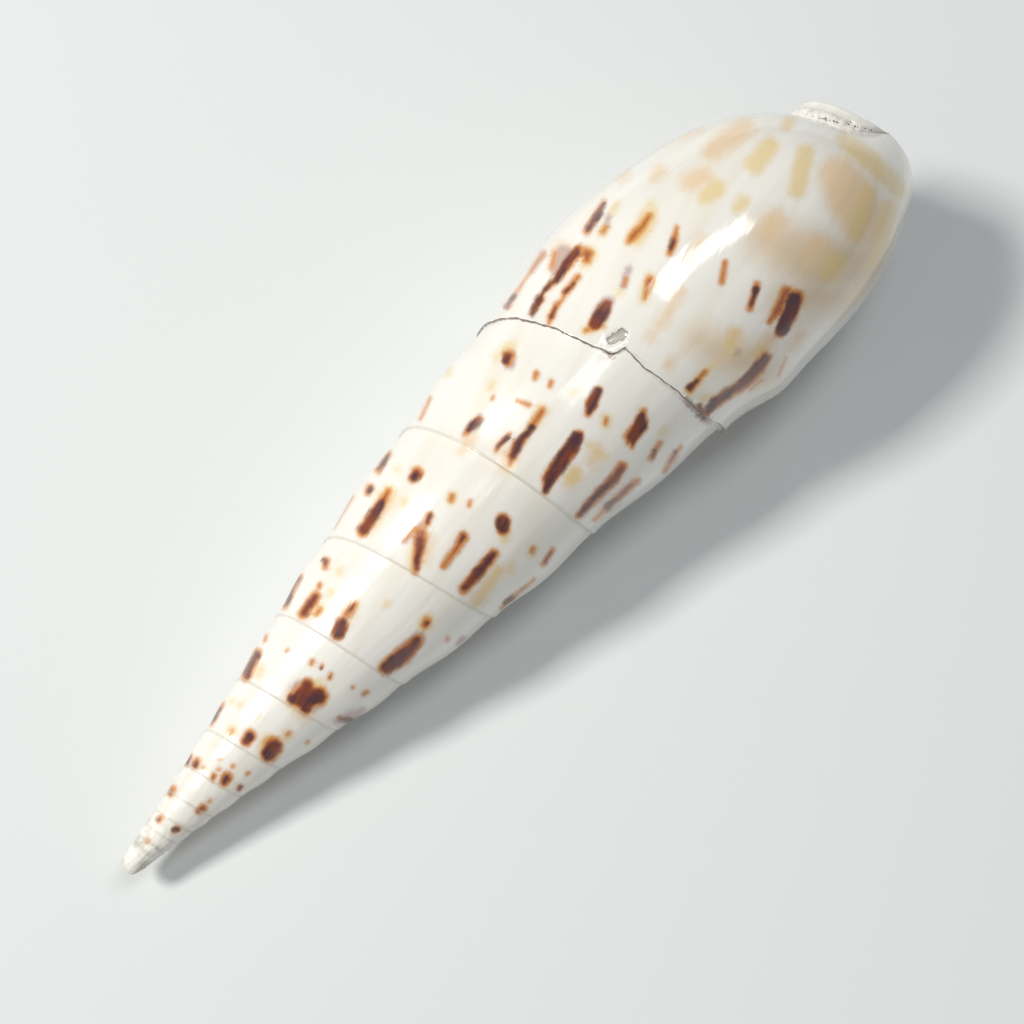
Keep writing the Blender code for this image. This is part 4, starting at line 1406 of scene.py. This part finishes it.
@dataclass
class Wear:
    """The fine relief of the surface: sutures, growth marks, chips, pits and the worn tip.

    Attributes:
        groove_depth, groove_width: of the last whorl's suture; the width is half of it.
        old_groove: the share of that depth that old sutures have.
        groove_turns: where the suture starts to deepen and where it is whole.
        full_radius: radius from which on growth marks and waves have their full depth.
        growth_marks: their spacing in turns, and their share of the depth.
        waves: how many of the surface's slow waves go to a metre.
        roughness: grains to a metre of worn and chalky places, and their share of the depth.
        tip_height: how far from the apex the tip is worn.
        tip_worn, tip_dirty: the shares of it between which the wear and the dirt end.
        chips, pits: depth of each, and its stroke in the photograph's pixels. The first chip
            shows bare shell, and the other one is stained.
        hole_edge: depths inside a stroke, in pixels, between which a hole's wall falls.
        chalk_from, chalk_to: where on the growing edge the chalk begins and ends.
        lip_slant: how far the lip leans back for each length along its edge.
        seam_end: how far past the aperture the next suture still counts, in turns.
        seam_reach: how far from a suture its distance is told, in millimetres.
        seam_turns: the first and the last turn that are told.
    """

    form: ShellForm
    points: MeshPoints
    seed: int = 5
    groove_depth: float = 0.1 * MM
    groove_width: float = 0.2 * MM
    old_groove: float = 0.3
    groove_turns: Pair = (-0.6, 0.0)
    full_radius: float = 20 * MM
    growth_depth: float = 0.045 * MM
    growth_marks: Points = ((0.021, 1.0), (0.009, 0.6))
    wave_depth: float = 0.1 * MM
    waves: float = 90
    roughness: Points = ((700, 1.0), (1900, 0.6))
    tip_height: float = 14 * MM
    tip_worn: Pair = (0.2, 1.0)
    tip_dirty: Pair = (0.3, 1.6)
    tip_depth: float = 0.22 * MM
    chalk_depth: float = 0.09 * MM
    chips: tuple[tuple[float, Stroke], ...] = (
        (0.35 * MM, ((611, 340, 9), (622, 334, 11))),
        (0.3 * MM, ((691, 402, 5), (697, 409, 8), (704, 417, 5))),
    )
    pits: tuple[tuple[float, Stroke], ...] = (
        (0.12 * MM, ((803, 112, 2), (812, 116, 3), (822, 118, 4), (834, 121, 4), (846, 125, 3))),
        (0.35 * MM, ((850, 123, 5), (856, 127, 5))),
        (0.15 * MM, ((864, 128, 2), (872, 131, 3))),
    )
    hole_edge: Pair = (-1.5, 2.0)
    chalk_from: Pair = (0.988, 1.01)
    chalk_to: Pair = (1.45, 1.6)
    lip_slant: float = 0.32
    seam_end: float = 0.005
    seam_reach: float = 4.0
    seam_turns: Pair = (-11.0, 0.6)

    def __post_init__(self) -> None:
        """Finds the chalk, and how far the nearest suture is and where on the spiral it is."""
        form, turn, height = self.form, self.points.turn, self.points.height
        own = np.abs(height - form.suture(turn) - form.broken(turn))
        following = np.abs(height - form.suture(turn + 1) - form.broken(turn + 1))
        following = np.where(turn < form.beside_turn + self.seam_end, following, FAR)
        self.seam_turn = np.where(own < following, turn, turn + 1)
        self.seam = np.where(self.points.outside, np.minimum(own, following), FAR)
        chalk = ramp(self.points.v, *self.chalk_from) * (1 - ramp(self.points.v, *self.chalk_to))
        self.chalk = chalk * (1 - self.points.zone)

    def grown(self) -> Array:
        """Gives where the growing lip stood when it laid each point down, in turns.

        The lip slants: close to the suture it stands ahead of the rest of its edge.
        """
        turn, height = self.points.turn, self.points.height
        around = 2 * np.pi * self.form.outline(height)
        return turn + self.lip_slant * (height - self.form.suture(turn)) / around

    def near_tip(self, shares: Pair) -> Array:
        """Gives 1 at the tip and 0 past the second of two shares of its height."""
        return 1 - ramp(self.points.height, *(share * self.tip_height for share in shares))

    def told(self) -> dict[str, Array]:
        """Gives what the material is told about the wear, by the attributes' names."""
        return {
            "seam": np.minimum(self.seam / MM, self.seam_reach),
            "seam_age": np.clip(self.seam_turn, *self.seam_turns),
            "chalk": self.chalk,
            "pit": self.points.inside(tuple(stroke for _, stroke in self.pits)),
            "chip": self.points.inside((self.chips[0][1],)),
            "tip": self.near_tip(self.tip_dirty),
        }

    def lumps(self, pitch: float) -> Array:
        """Gives rounded unevenness between -1 and 1, with so many lumps to a metre."""
        return np.array([noise.noise(Vector(row) * pitch) for row in self.points.rows])

    def depth(self) -> Array:
        """Gives how far each point is worn or pressed inward, in metres."""
        random = np.random.default_rng(self.seed)
        young = self.old_groove + (1 - self.old_groove) * ramp(self.seam_turn, *self.groove_turns)
        depth = self.groove_depth * young * np.exp(-((self.seam / self.groove_width) ** 2))
        size = np.clip(self.points.radius / self.full_radius, 0, 1)
        marks = sum(
            share * smooth_steps(self.points.turn, random, spacing)
            for spacing, share in self.growth_marks
        )
        depth = depth + self.growth_depth * size * marks
        depth = depth + self.wave_depth * size * self.lumps(self.waves)
        rough = sum(share * self.lumps(pitch) for pitch, share in self.roughness)
        worn = self.tip_depth * self.near_tip(self.tip_worn)
        depth = depth + (worn + self.chalk_depth * self.chalk) * rough
        for deep, stroke in self.chips + self.pits:
            depth = depth + deep * ramp(self.points.inside((stroke,)), *self.hole_edge)
        return np.where(self.points.outside, depth, 0.0)


class Kind(Enum):
    """The kinds of node that the materials are made of."""

    PLACE = "ShaderNodeTexCoord"
    TOLD = "ShaderNodeAttribute"
    NOISE = "ShaderNodeTexNoise"
    MATHS = "ShaderNodeMath"
    VECTOR = "ShaderNodeCombineXYZ"
    VECTOR_MATHS = "ShaderNodeVectorMath"
    RISE = "ShaderNodeMapRange"
    MIX = "ShaderNodeMix"
    BUMP = "ShaderNodeBump"
    SURFACE = "ShaderNodeBsdfPrincipled"
    OUTPUT = "ShaderNodeOutputMaterial"


def add_node(
    tree: bpy.types.NodeTree,
    kind: Kind,
    inputs: dict[int | str, Any] | None = None,
    output: int | str = 0,
    **settings: Any,
) -> bpy.types.NodeSocket | None:
    """Adds a node with its settings, values and links.

    Args:
        tree: where to add it.
        kind: what it does.
        inputs: a value or a socket to link for each input that isn't left as it is.
        output: which of its outputs is wanted.
        settings: the node's own properties.

    Returns:
        The output, or nothing where the node has none.
    """
    node = tree.nodes.new(kind.value)
    for name, value in settings.items():
        setattr(node, name, value)
    for socket, value in (inputs or {}).items():
        if isinstance(value, bpy.types.NodeSocket):
            tree.links.new(value, node.inputs[socket])
        else:
            node.inputs[socket].default_value = value
    return node.outputs[output] if node.outputs else None


Tree = bpy.types.NodeTree
Socket = bpy.types.NodeSocket


@dataclass(frozen=True)
class Cover:
    """How a colour is laid over another as a value rises.

    Attributes:
        colour: the colour above, left empty for a mixture.
        rise: where the value starts to cover the colour below, and where it ends.
        most: the share that it covers at the end of the rise.
        uneven: how much the unevenness of the marks' edges counts in the value, in pixels.
    """

    colour: str
    rise: Pair
    most: float = 1.0
    uneven: float = 0.0


@dataclass(frozen=True)
class PorcelainAragonite:
    """The shell itself: layers of aragonite crystals, laid down edge by edge at the growing lip.

    The last layer is a smooth glaze as on porcelain, so it gives broad soft highlights and one
    sharp one over creamy colour. The fasciole at its end is bare, chalky and matt. Growth lines
    are given by their steps to a turn, their length in millimetres and their layers of detail.

    Attributes:
        rust_rim, rust_inside: the orange rim of a rust mark, and its deep colour over that.
        core_warm, core_cold: a dark mark's warm colour, and the cold one over that.
        rust, core: how the marks of both colours cover the shell.
        old_seam, crack: a suture of the spire, and the last whorl's.
        streaks, bands, tints, fibres, lines: the growth lines at the marks' edges, and those of
            the ground, of the dark marks' colour, of the chalk and of the relief.
        grain, patch, ragged, torn, speck, blotch: sizes of unevenness: at the edges of marks, in
            the reach of their dark cores, at sutures, at chips, in pits and in the tip's dirt.
        core_shift, chip_shift, pit_shift: how far they move the edges of dark cores, chips and
            pits, as a factor and a constant, in pixels.
        seam_shift: how far they move a suture's edge, in millimetres.
        late_seam: the turns between which a faint line becomes a crack.
        old_from: where the whorls turn duller from long use, in turns.
        old_dullness, old_matt, tip_matt: the share of the gloss that they have lost, and how
            much of the chalk's roughness they and the tip have.
        fibre_height: height of the chalk's fibres, in heights of the growth lines.
    """

    tree: Tree
    ground: str = "F8F5EE"
    warm_ground: Cover = Cover("F0E7D6", (0.42, 0.75), 0.6)
    # Painted shade: the warm darker colour of the last whorl's shaded flank
    wash: Cover = Cover("DBB985", (-26.0, 20.0), 0.65, 8.0)
    peach: Cover = Cover("F1D2A9", (-8.0, 8.0), 0.8, 8.0)
    ochre: Cover = Cover("EFD497", (-6.0, 6.0), 0.8, 6.0)
    plum: Cover = Cover("B08A8C", (-3.5, 4.5), 0.7, 4.0)
    stain: Cover = Cover("84583C", (-1.5, 2.5), 0.55, 9.0)
    rust_rim: Cover = Cover("DA9040", (-4.5, 1.5), 0.25)
    rust_inside: Cover = Cover("A54E20", (1.2, 5.6))
    rust: Cover = Cover("", (-2.0, 2.6), 0.9, 2.6)
    core_warm: str = "843E26"
    core_cold: Cover = Cover("4C2F3C", (0.82, 1.18))
    core: Cover = Cover("", (-1.4, 3.8), 0.93, 2.6)
    chalk: str = "ECE8E3"
    chalk_shade: Cover = Cover("C9C1B8", (0.42, 0.75), 0.8)
    pit: Cover = Cover("4E4038", (0.2, 1.6), 0.85)
    old_seam: Cover = Cover("CBC0AE", (0.4, -0.2), 0.45)
    crack: Cover = Cover("5C4334", (0.03, -0.05), 0.85)
    chip_rim: Cover = Cover("5C4334", (-0.6, 0.2), 0.7)
    chip: Cover = Cover("C4BFB5", (0.3, 1.4))
    dirt: Cover = Cover("9C9A84", (0.42, 0.7), 0.5)
    lining: Cover = Cover("EBDCC8", (0.0, 1.0))
    streaks: Triple = (130.0, 6.0, 3.0)
    bands: Triple = (26.0, 60.0, 3.0)
    tints: Triple = (140.0, 9.0, 2.0)
    fibres: Triple = (60.0, 2.0, 4.0)
    lines: Triple = (220.0, 14.0, 2.0)
    grain: float = 1.3 * MM
    patch: float = 3.0 * MM
    core_shift: Pair = (9.0, -3.4)
    ragged: float = 1.1 * MM
    seam_shift: float = -0.22
    late_seam: Pair = (-0.35, 0.02)
    torn: float = 0.8 * MM
    chip_shift: Pair = (6.0, -3.0)
    speck: float = 0.5 * MM
    pit_shift: Pair = (16.0, -9.5)
    blotch: float = 2.2 * MM
    torn_detail: float = 3.0
    blotch_detail: float = 4.0
    roughness: float = 0.11
    chalk_roughness: float = 0.8
    gloss: float = 0.8
    gloss_roughness: float = 0.1
    ior: float = 1.6
    old_from: Pair = (-0.45, -0.8)
    old_dullness: float = 0.75
    old_matt: float = 0.25
    tip_matt: float = 0.5
    relief: float = 0.06 * MM
    relief_strength: float = 0.35
    fibre_height: float = 4.0

    def growth_lines(self, turns: float, length: float, detail: float) -> Socket:
        """Adds unevenness that runs along the growth lines.

        Args:
            turns: its steps to a turn.
            length: of a step along the axis, in millimetres.
            detail: how many finer layers it has.

        Returns:
            A value around 0.5.
        """
        grown, along = self.told["grown"], self.told["along"]
        around = add_node(self.tree, Kind.MATHS, {0: grown, 1: turns}, operation="MULTIPLY")
        down = add_node(self.tree, Kind.MATHS, {0: along, 1: length}, operation="DIVIDE")
        vector = add_node(self.tree, Kind.VECTOR, {0: around, 1: down})
        inputs = {"Vector": vector, "Scale": 1.0, "Detail": detail}
        return add_node(self.tree, Kind.NOISE, inputs)

    def lay(self, below: Any, value: Socket, cover: Cover, above: Any = None) -> Socket:
        """Lays a colour over another where a value rises.

        Args:
            below: the colour below.
            value: what it follows.
            cover: how it covers.
            above: the colour above, unless the cover names it.

        Returns:
            The colour with the other one laid over it.
        """
        low, high = cover.rise
        inputs = {"Value": value, "From Min": low, "From Max": high, "To Max": cover.most}
        share = add_node(self.tree, Kind.RISE, inputs, interpolation_type="SMOOTHSTEP")
        inputs = {0: share, 6: below, 7: above or linear(cover.colour)}
        return add_node(self.tree, Kind.MIX, inputs, 2, data_type="RGBA")

    def shifted(self, depth: Socket, uneven: Socket, by: Pair) -> Socket:
        """Moves a depth by an unevenness, with its factor and a constant."""
        inputs = {0: uneven, 1: by[0], 2: by[1]}
        shift = add_node(self.tree, Kind.MATHS, inputs, operation="MULTIPLY_ADD")
        return add_node(self.tree, Kind.MATHS, {0: depth, 1: shift}, operation="ADD")

    def inside(self, tone: Tone, uneven: Socket, by: float) -> Socket:
        """Works out the depth inside a tone's strokes, made uneven.

        Args:
            tone: the tone.
            uneven: the unevenness, around 0.
            by: how many pixels of depth one unit of it is.

        Returns:
            The depth, in pixels.
        """
        tree = self.tree
        depth = add_node(tree, Kind.TOLD, output="Fac", attribute_name=tone.value)
        if tone in Markings.sharp:
            side, past, half, lift = (
                add_node(tree, Kind.TOLD, output="Fac", attribute_name=f"{tone.value}_{part}")
                for part in ("side", "past", "half", "lift")
            )
            apart = add_node(tree, Kind.VECTOR, {0: side, 1: past})
            away = add_node(tree, Kind.VECTOR_MATHS, {0: apart}, "Value", operation="LENGTH")
            exact = add_node(tree, Kind.MATHS, {0: half, 1: away}, operation="SUBTRACT")
            most = add_node(tree, Kind.MATHS, {0: depth, 1: lift}, operation="ADD")
            depth = add_node(tree, Kind.MATHS, {0: exact, 1: most}, operation="MINIMUM")
        return add_node(tree, Kind.MATHS, {0: uneven, 1: by, 2: depth}, operation="MULTIPLY_ADD")

    def markings(self, colour: Socket) -> Socket:
        """Lays the markings and the painted shade over the ground colour, and gives the colour of
        all.
        """
        tree, place_now = self.tree, self.place_now
        streak = self.growth_lines(*self.streaks)
        grain = add_node(tree, Kind.NOISE, {"Vector": place_now, "Scale": 1 / self.grain})
        both = add_node(tree, Kind.MATHS, {0: streak, 1: grain}, operation="ADD")
        uneven = add_node(tree, Kind.MATHS, {0: both, 1: 1.0}, operation="SUBTRACT")
        # The painted shade is laid first, under the markings
        covers = {
            Tone.PAINTED_SHADE: self.wash, Tone.PEACH: self.peach, Tone.OCHRE: self.ochre,
            Tone.PLUM: self.plum, Tone.RUST: self.rust, Tone.CORE: self.core,
            Tone.STAIN: self.stain,
        }
        depth = {tone: self.inside(tone, uneven, cover.uneven) for tone, cover in covers.items()}
        patches = add_node(tree, Kind.NOISE, {"Vector": place_now, "Scale": 1 / self.patch})
        depth[Tone.CORE] = self.shifted(depth[Tone.CORE], patches, self.core_shift)
        rust = self.lay(linear(self.rust_rim.colour), depth[Tone.RUST], self.rust_inside)
        fine = self.growth_lines(*self.tints)
        tint = add_node(tree, Kind.MATHS, {0: patches, 1: fine}, operation="ADD")
        core = self.lay(linear(self.core_warm), tint, self.core_cold)
        mixed = {Tone.RUST: rust, Tone.CORE: core}
        for tone, cover in covers.items():
            colour = self.lay(colour, depth[tone], cover, mixed.get(tone))
            if tone is Tone.OCHRE:
                colour = self.lay(colour, depth[Tone.RUST], self.rust_rim)
        return colour

    def seams(self, colour: Socket) -> Socket:
        """Draws the sutures: a dark crack beside the last whorl, faint grey lines before it."""
        tree = self.tree
        inputs = {
            "Vector": self.place_now, "Scale": 1 / self.ragged, "Detail": self.torn_detail
        }
        ragged = add_node(tree, Kind.NOISE, inputs)
        inputs = {0: ragged, 1: self.seam_shift, 2: self.told["seam"]}
        away = add_node(tree, Kind.MATHS, inputs, operation="MULTIPLY_ADD")
        low, high = self.late_seam
        inputs = {"Value": self.told["seam_age"], "From Min": low, "From Max": high}
        late = add_node(tree, Kind.RISE, inputs, interpolation_type="SMOOTHSTEP")
        old = self.lay(colour, away, self.old_seam)
        new = self.lay(colour, away, self.crack)
        return add_node(tree, Kind.MIX, {0: late, 6: old, 7: new}, 2, data_type="RGBA")

    def worn(self, colour: Socket) -> Socket:
        """Lays the dirt of the worn tip and the torn bare chip beside the last suture."""
        tree, place_now, tip = self.tree, self.place_now, self.told["tip"]
        inputs = {"Vector": place_now, "Scale": 1 / self.blotch, "Detail": self.blotch_detail}
        dirty = self.lay(colour, add_node(tree, Kind.NOISE, inputs), self.dirt)
        colour = add_node(tree, Kind.MIX, {0: tip, 6: colour, 7: dirty}, 2, data_type="RGBA")
        inputs = {"Vector": place_now, "Scale": 1 / self.torn, "Detail": self.torn_detail}
        torn = add_node(tree, Kind.NOISE, inputs)
        chip = self.shifted(self.told["chip"], torn, self.chip_shift)
        return self.lay(self.lay(colour, chip, self.chip_rim), chip, self.chip)

    def chalky(self, colour: Socket, fibres: Socket) -> Socket:
        """Lays the bare chalky fasciole with its fibres, its pits and the aperture's lining."""
        tree, chalk = self.tree, self.told["chalk"]
        bare = self.lay(linear(self.chalk), fibres, self.chalk_shade)
        colour = add_node(tree, Kind.MIX, {0: chalk, 6: colour, 7: bare}, 2, data_type="RGBA")
        specks = add_node(tree, Kind.NOISE, {"Vector": self.place_now, "Scale": 1 / self.speck})
        pit = self.shifted(self.told["pit"], specks, self.pit_shift)
        colour = self.lay(colour, pit, self.pit)
        return self.lay(colour, self.told["lining"], self.lining)

    @classmethod
    def material(cls) -> bpy.types.Material:
        """Makes the material, which reads the mesh's attributes."""
        made = bpy.data.materials.new("porcelain_aragonite")
        made.use_nodes = True
        made.node_tree.nodes.clear()
        cls(made.node_tree).fill()
        return made

    @cached_property
    def place_now(self) -> Socket:
        """Gives the object's coordinates."""
        return add_node(self.tree, Kind.PLACE, output="Object")

    @cached_property
    def told(self) -> dict[str, Socket]:
        """Gives what the mesh tells about each point, by its attributes' names."""
        names = ("grown", "along", "seam", "seam_age", "chip", "pit", "chalk", "tip", "lining")
        return {
            name: add_node(self.tree, Kind.TOLD, output="Fac", attribute_name=name)
            for name in names
        }

    def fill(self) -> None:
        """Adds all the nodes: the colours in their order, the gloss and the relief."""
        tree = self.tree
        bands = self.growth_lines(*self.bands)
        ground = self.lay(linear(self.ground), bands, self.warm_ground)
        tip, chalk = self.told["tip"], self.told["chalk"]
        fibres = self.growth_lines(*self.fibres)
        colour = self.chalky(self.worn(self.seams(self.markings(ground))), fibres)
        tip_matt = add_node(tree, Kind.MATHS, {0: tip, 1: self.tip_matt}, operation="MULTIPLY")
        matt = add_node(tree, Kind.MATHS, {0: chalk, 1: tip_matt}, operation="MAXIMUM")
        low, high = self.old_from
        inputs = {"Value": self.told["grown"], "From Min": low, "From Max": high}
        old = add_node(tree, Kind.RISE, inputs)
        inputs = {0: old, 1: self.old_matt, 2: matt}
        matt = add_node(tree, Kind.MATHS, inputs, operation="MULTIPLY_ADD")
        inputs = {"Value": matt, "To Min": self.roughness, "To Max": self.chalk_roughness}
        roughness = add_node(tree, Kind.RISE, inputs)
        dull = add_node(tree, Kind.MATHS, {0: old, 1: self.old_dullness}, operation="MULTIPLY")
        dull = add_node(tree, Kind.MATHS, {0: matt, 1: dull}, operation="MAXIMUM")
        inputs = {"Value": dull, "To Min": self.gloss, "To Max": 0.0}
        gloss = add_node(tree, Kind.RISE, inputs)
        lines = self.growth_lines(*self.lines)
        rough = add_node(tree, Kind.MATHS, {0: chalk, 1: fibres}, operation="MULTIPLY")
        inputs = {0: rough, 1: self.fibre_height, 2: lines}
        height = add_node(tree, Kind.MATHS, inputs, operation="MULTIPLY_ADD")
        inputs = {"Strength": self.relief_strength, "Distance": self.relief, "Height": height}
        relief = add_node(tree, Kind.BUMP, inputs)
        surface = add_node(tree, Kind.SURFACE, {
            "Base Color": colour, "Roughness": roughness, "IOR": self.ior, "Normal": relief,
            "Coat Weight": gloss, "Coat Roughness": self.gloss_roughness, "Coat Normal": relief,
        })
        add_node(tree, Kind.OUTPUT, {"Surface": surface})


@dataclass
class MarlinspikeShell:
    """The shell: its surface, its wear, its markings and its finish."""

    form: ShellForm
    camera: PhotoCamera

    def build(self) -> bpy.types.Object:
        """Builds the shell where it rests, not yet riding on anything."""
        surface = ShellSurface(self.form)
        data = surface.build("glazed_shell")
        rows, normals = self.read(data, "co"), self.read(data, "normal")
        points = MeshPoints(self.camera, rows, normals, surface.known)
        pairs = np.empty(2 * len(data.edges), int)
        data.edges.foreach_get("vertices", pairs)
        told = Markings(self.form, points).told(pairs.reshape(-1, 2))
        wear = Wear(self.form, points)
        told.update(wear.told())
        told["grown"], told["along"], told["lining"] = wear.grown(), points.height / MM, points.zone
        rows = rows - normals * wear.depth()[:, None]
        data.vertices.foreach_set("co", rows.ravel())
        data.transform(self.form.world_matrix())
        for name, values in told.items():
            attribute = data.attributes.new(name, "FLOAT", "POINT")
            attribute.data.foreach_set("value", values.astype(np.float32))
        data.update()
        data.materials.append(PorcelainAragonite.material())
        return put("glazed_shell", data)

    @staticmethod
    def read(data: bpy.types.Mesh, name: str) -> Array:
        """Reads a vector of every vertex as rows."""
        values = np.empty(3 * len(data.vertices))
        data.vertices.foreach_get(name, values)
        return values.reshape(-1, 3)


@dataclass
class SoftBox:
    """A soft lamp, placed by the way its light comes as the camera sees it.

    Attributes:
        direction: towards the lamp: right, down and away from the camera.
        along: the way of its longer side, in the same axes.
        distance: from the middle of the shell.
        length, width: of its two sides.
        aim: the place on the axis that it points at, from the apex.
    """

    name: str
    direction: Triple
    along: Triple
    distance: float
    length: float
    width: float
    watts: float
    colour: str = "FFFFFF"
    aim: float = 100 * MM

    def build(self, form: ShellForm, camera: PhotoCamera) -> None:
        """Hangs the lamp.

        Args:
            form: the shell, for the way it rests.
            camera: the photograph's camera.
        """
        rest = form.world_matrix()
        turned = rest.to_3x3()
        back = (turned @ camera.direction(*self.direction)).normalized()
        side = turned @ camera.direction(*self.along)
        side = (side - side.dot(back) * back).normalized()
        axes = Matrix((side, back.cross(side), back)).transposed().to_4x4()
        middle = rest @ Vector((self.aim, 0.0, 0.0))
        data = bpy.data.lights.new(self.name, "AREA")
        data.shape, data.size, data.size_y = "RECTANGLE", self.length, self.width
        data.energy = self.watts
        data.color = linear(self.colour)[:3]
        lamp = put(self.name, data)
        lamp.matrix_world = Matrix.Translation(middle + back * self.distance) @ axes


@dataclass
class Studio:
    """The pale square table, the soft light of the room and the lamps."""

    floor_side: float = 4.0
    floor_colour: str = "E9ECED"
    floor_roughness: float = 0.9
    room_colour: str = "F4F8FA"
    room_strength: float = 0.24
    lamps: tuple[SoftBox, ...] = (
        SoftBox("key", (-0.62, -0.25, -0.75), (0.6, -0.8, 0.0), 1.2, 0.28, 0.2, 10.6, "FFFDF7"),
        SoftBox("window", (0.216, -0.411, -0.886), (0.40, -0.30, 0.27), 1.0, 0.6, 0.25, 2.1),
    )

    def build(self, form: ShellForm, camera: PhotoCamera) -> None:
        """Builds the table and the light.

        Args:
            form: the shell, for the way it rests.
            camera: the photograph's camera.
        """
        data = bpy.data.meshes.new("table_top")
        mesh = bmesh.new()
        bmesh.ops.create_grid(mesh, x_segments=2, y_segments=2, size=self.floor_side / 2)
        mesh.to_mesh(data)
        mesh.free()
        data.materials.append(self.paint())
        table = put("table_top", data)
        table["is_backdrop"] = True
        world = bpy.data.worlds.new("pale_room")
        world.use_nodes = True
        back = world.node_tree.nodes["Background"]
        back.inputs["Color"].default_value = linear(self.room_colour)
        back.inputs["Strength"].default_value = self.room_strength
        bpy.context.scene.world = world
        for lamp in self.lamps:
            lamp.build(form, camera)

    def paint(self) -> bpy.types.Material:
        """Makes the table's matt paint: even and without gloss, so it only takes the shadow."""
        made = bpy.data.materials.new("matt_paint")
        made.use_nodes = True
        tree = made.node_tree
        surface = tree.nodes["Principled BSDF"]
        surface.inputs["Base Color"].default_value = linear(self.floor_colour)
        surface.inputs["Roughness"].default_value = self.floor_roughness
        return made


def main() -> None:
    """Builds the shell, its light and its camera, hangs the shell on the root body, and logs the
    sizes of the solid's box and of the visual one.
    """
    logging.basicConfig(level=logging.INFO, format="%(name)s: %(message)s")
    solid_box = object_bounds()
    form = ShellForm()
    camera = PhotoCamera()
    camera.build(form)
    LOG.info("camera placed")
    shell = MarlinspikeShell(form, camera).build()
    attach(shell, "root")
    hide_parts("shell")
    LOG.info("shell built")
    Studio().build(form, camera)
    LOG.info("studio built")
    bpy.context.scene.view_settings.view_transform = "Standard"
    boxes = {"cad": solid_box, "visual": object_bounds()}
    for name, (low, high) in boxes.items():
        LOG.info("%s box: %s mm", name, [round(1000 * (b - a), 2) for a, b in zip(low, high)])


if __name__ == "__main__":
    main()
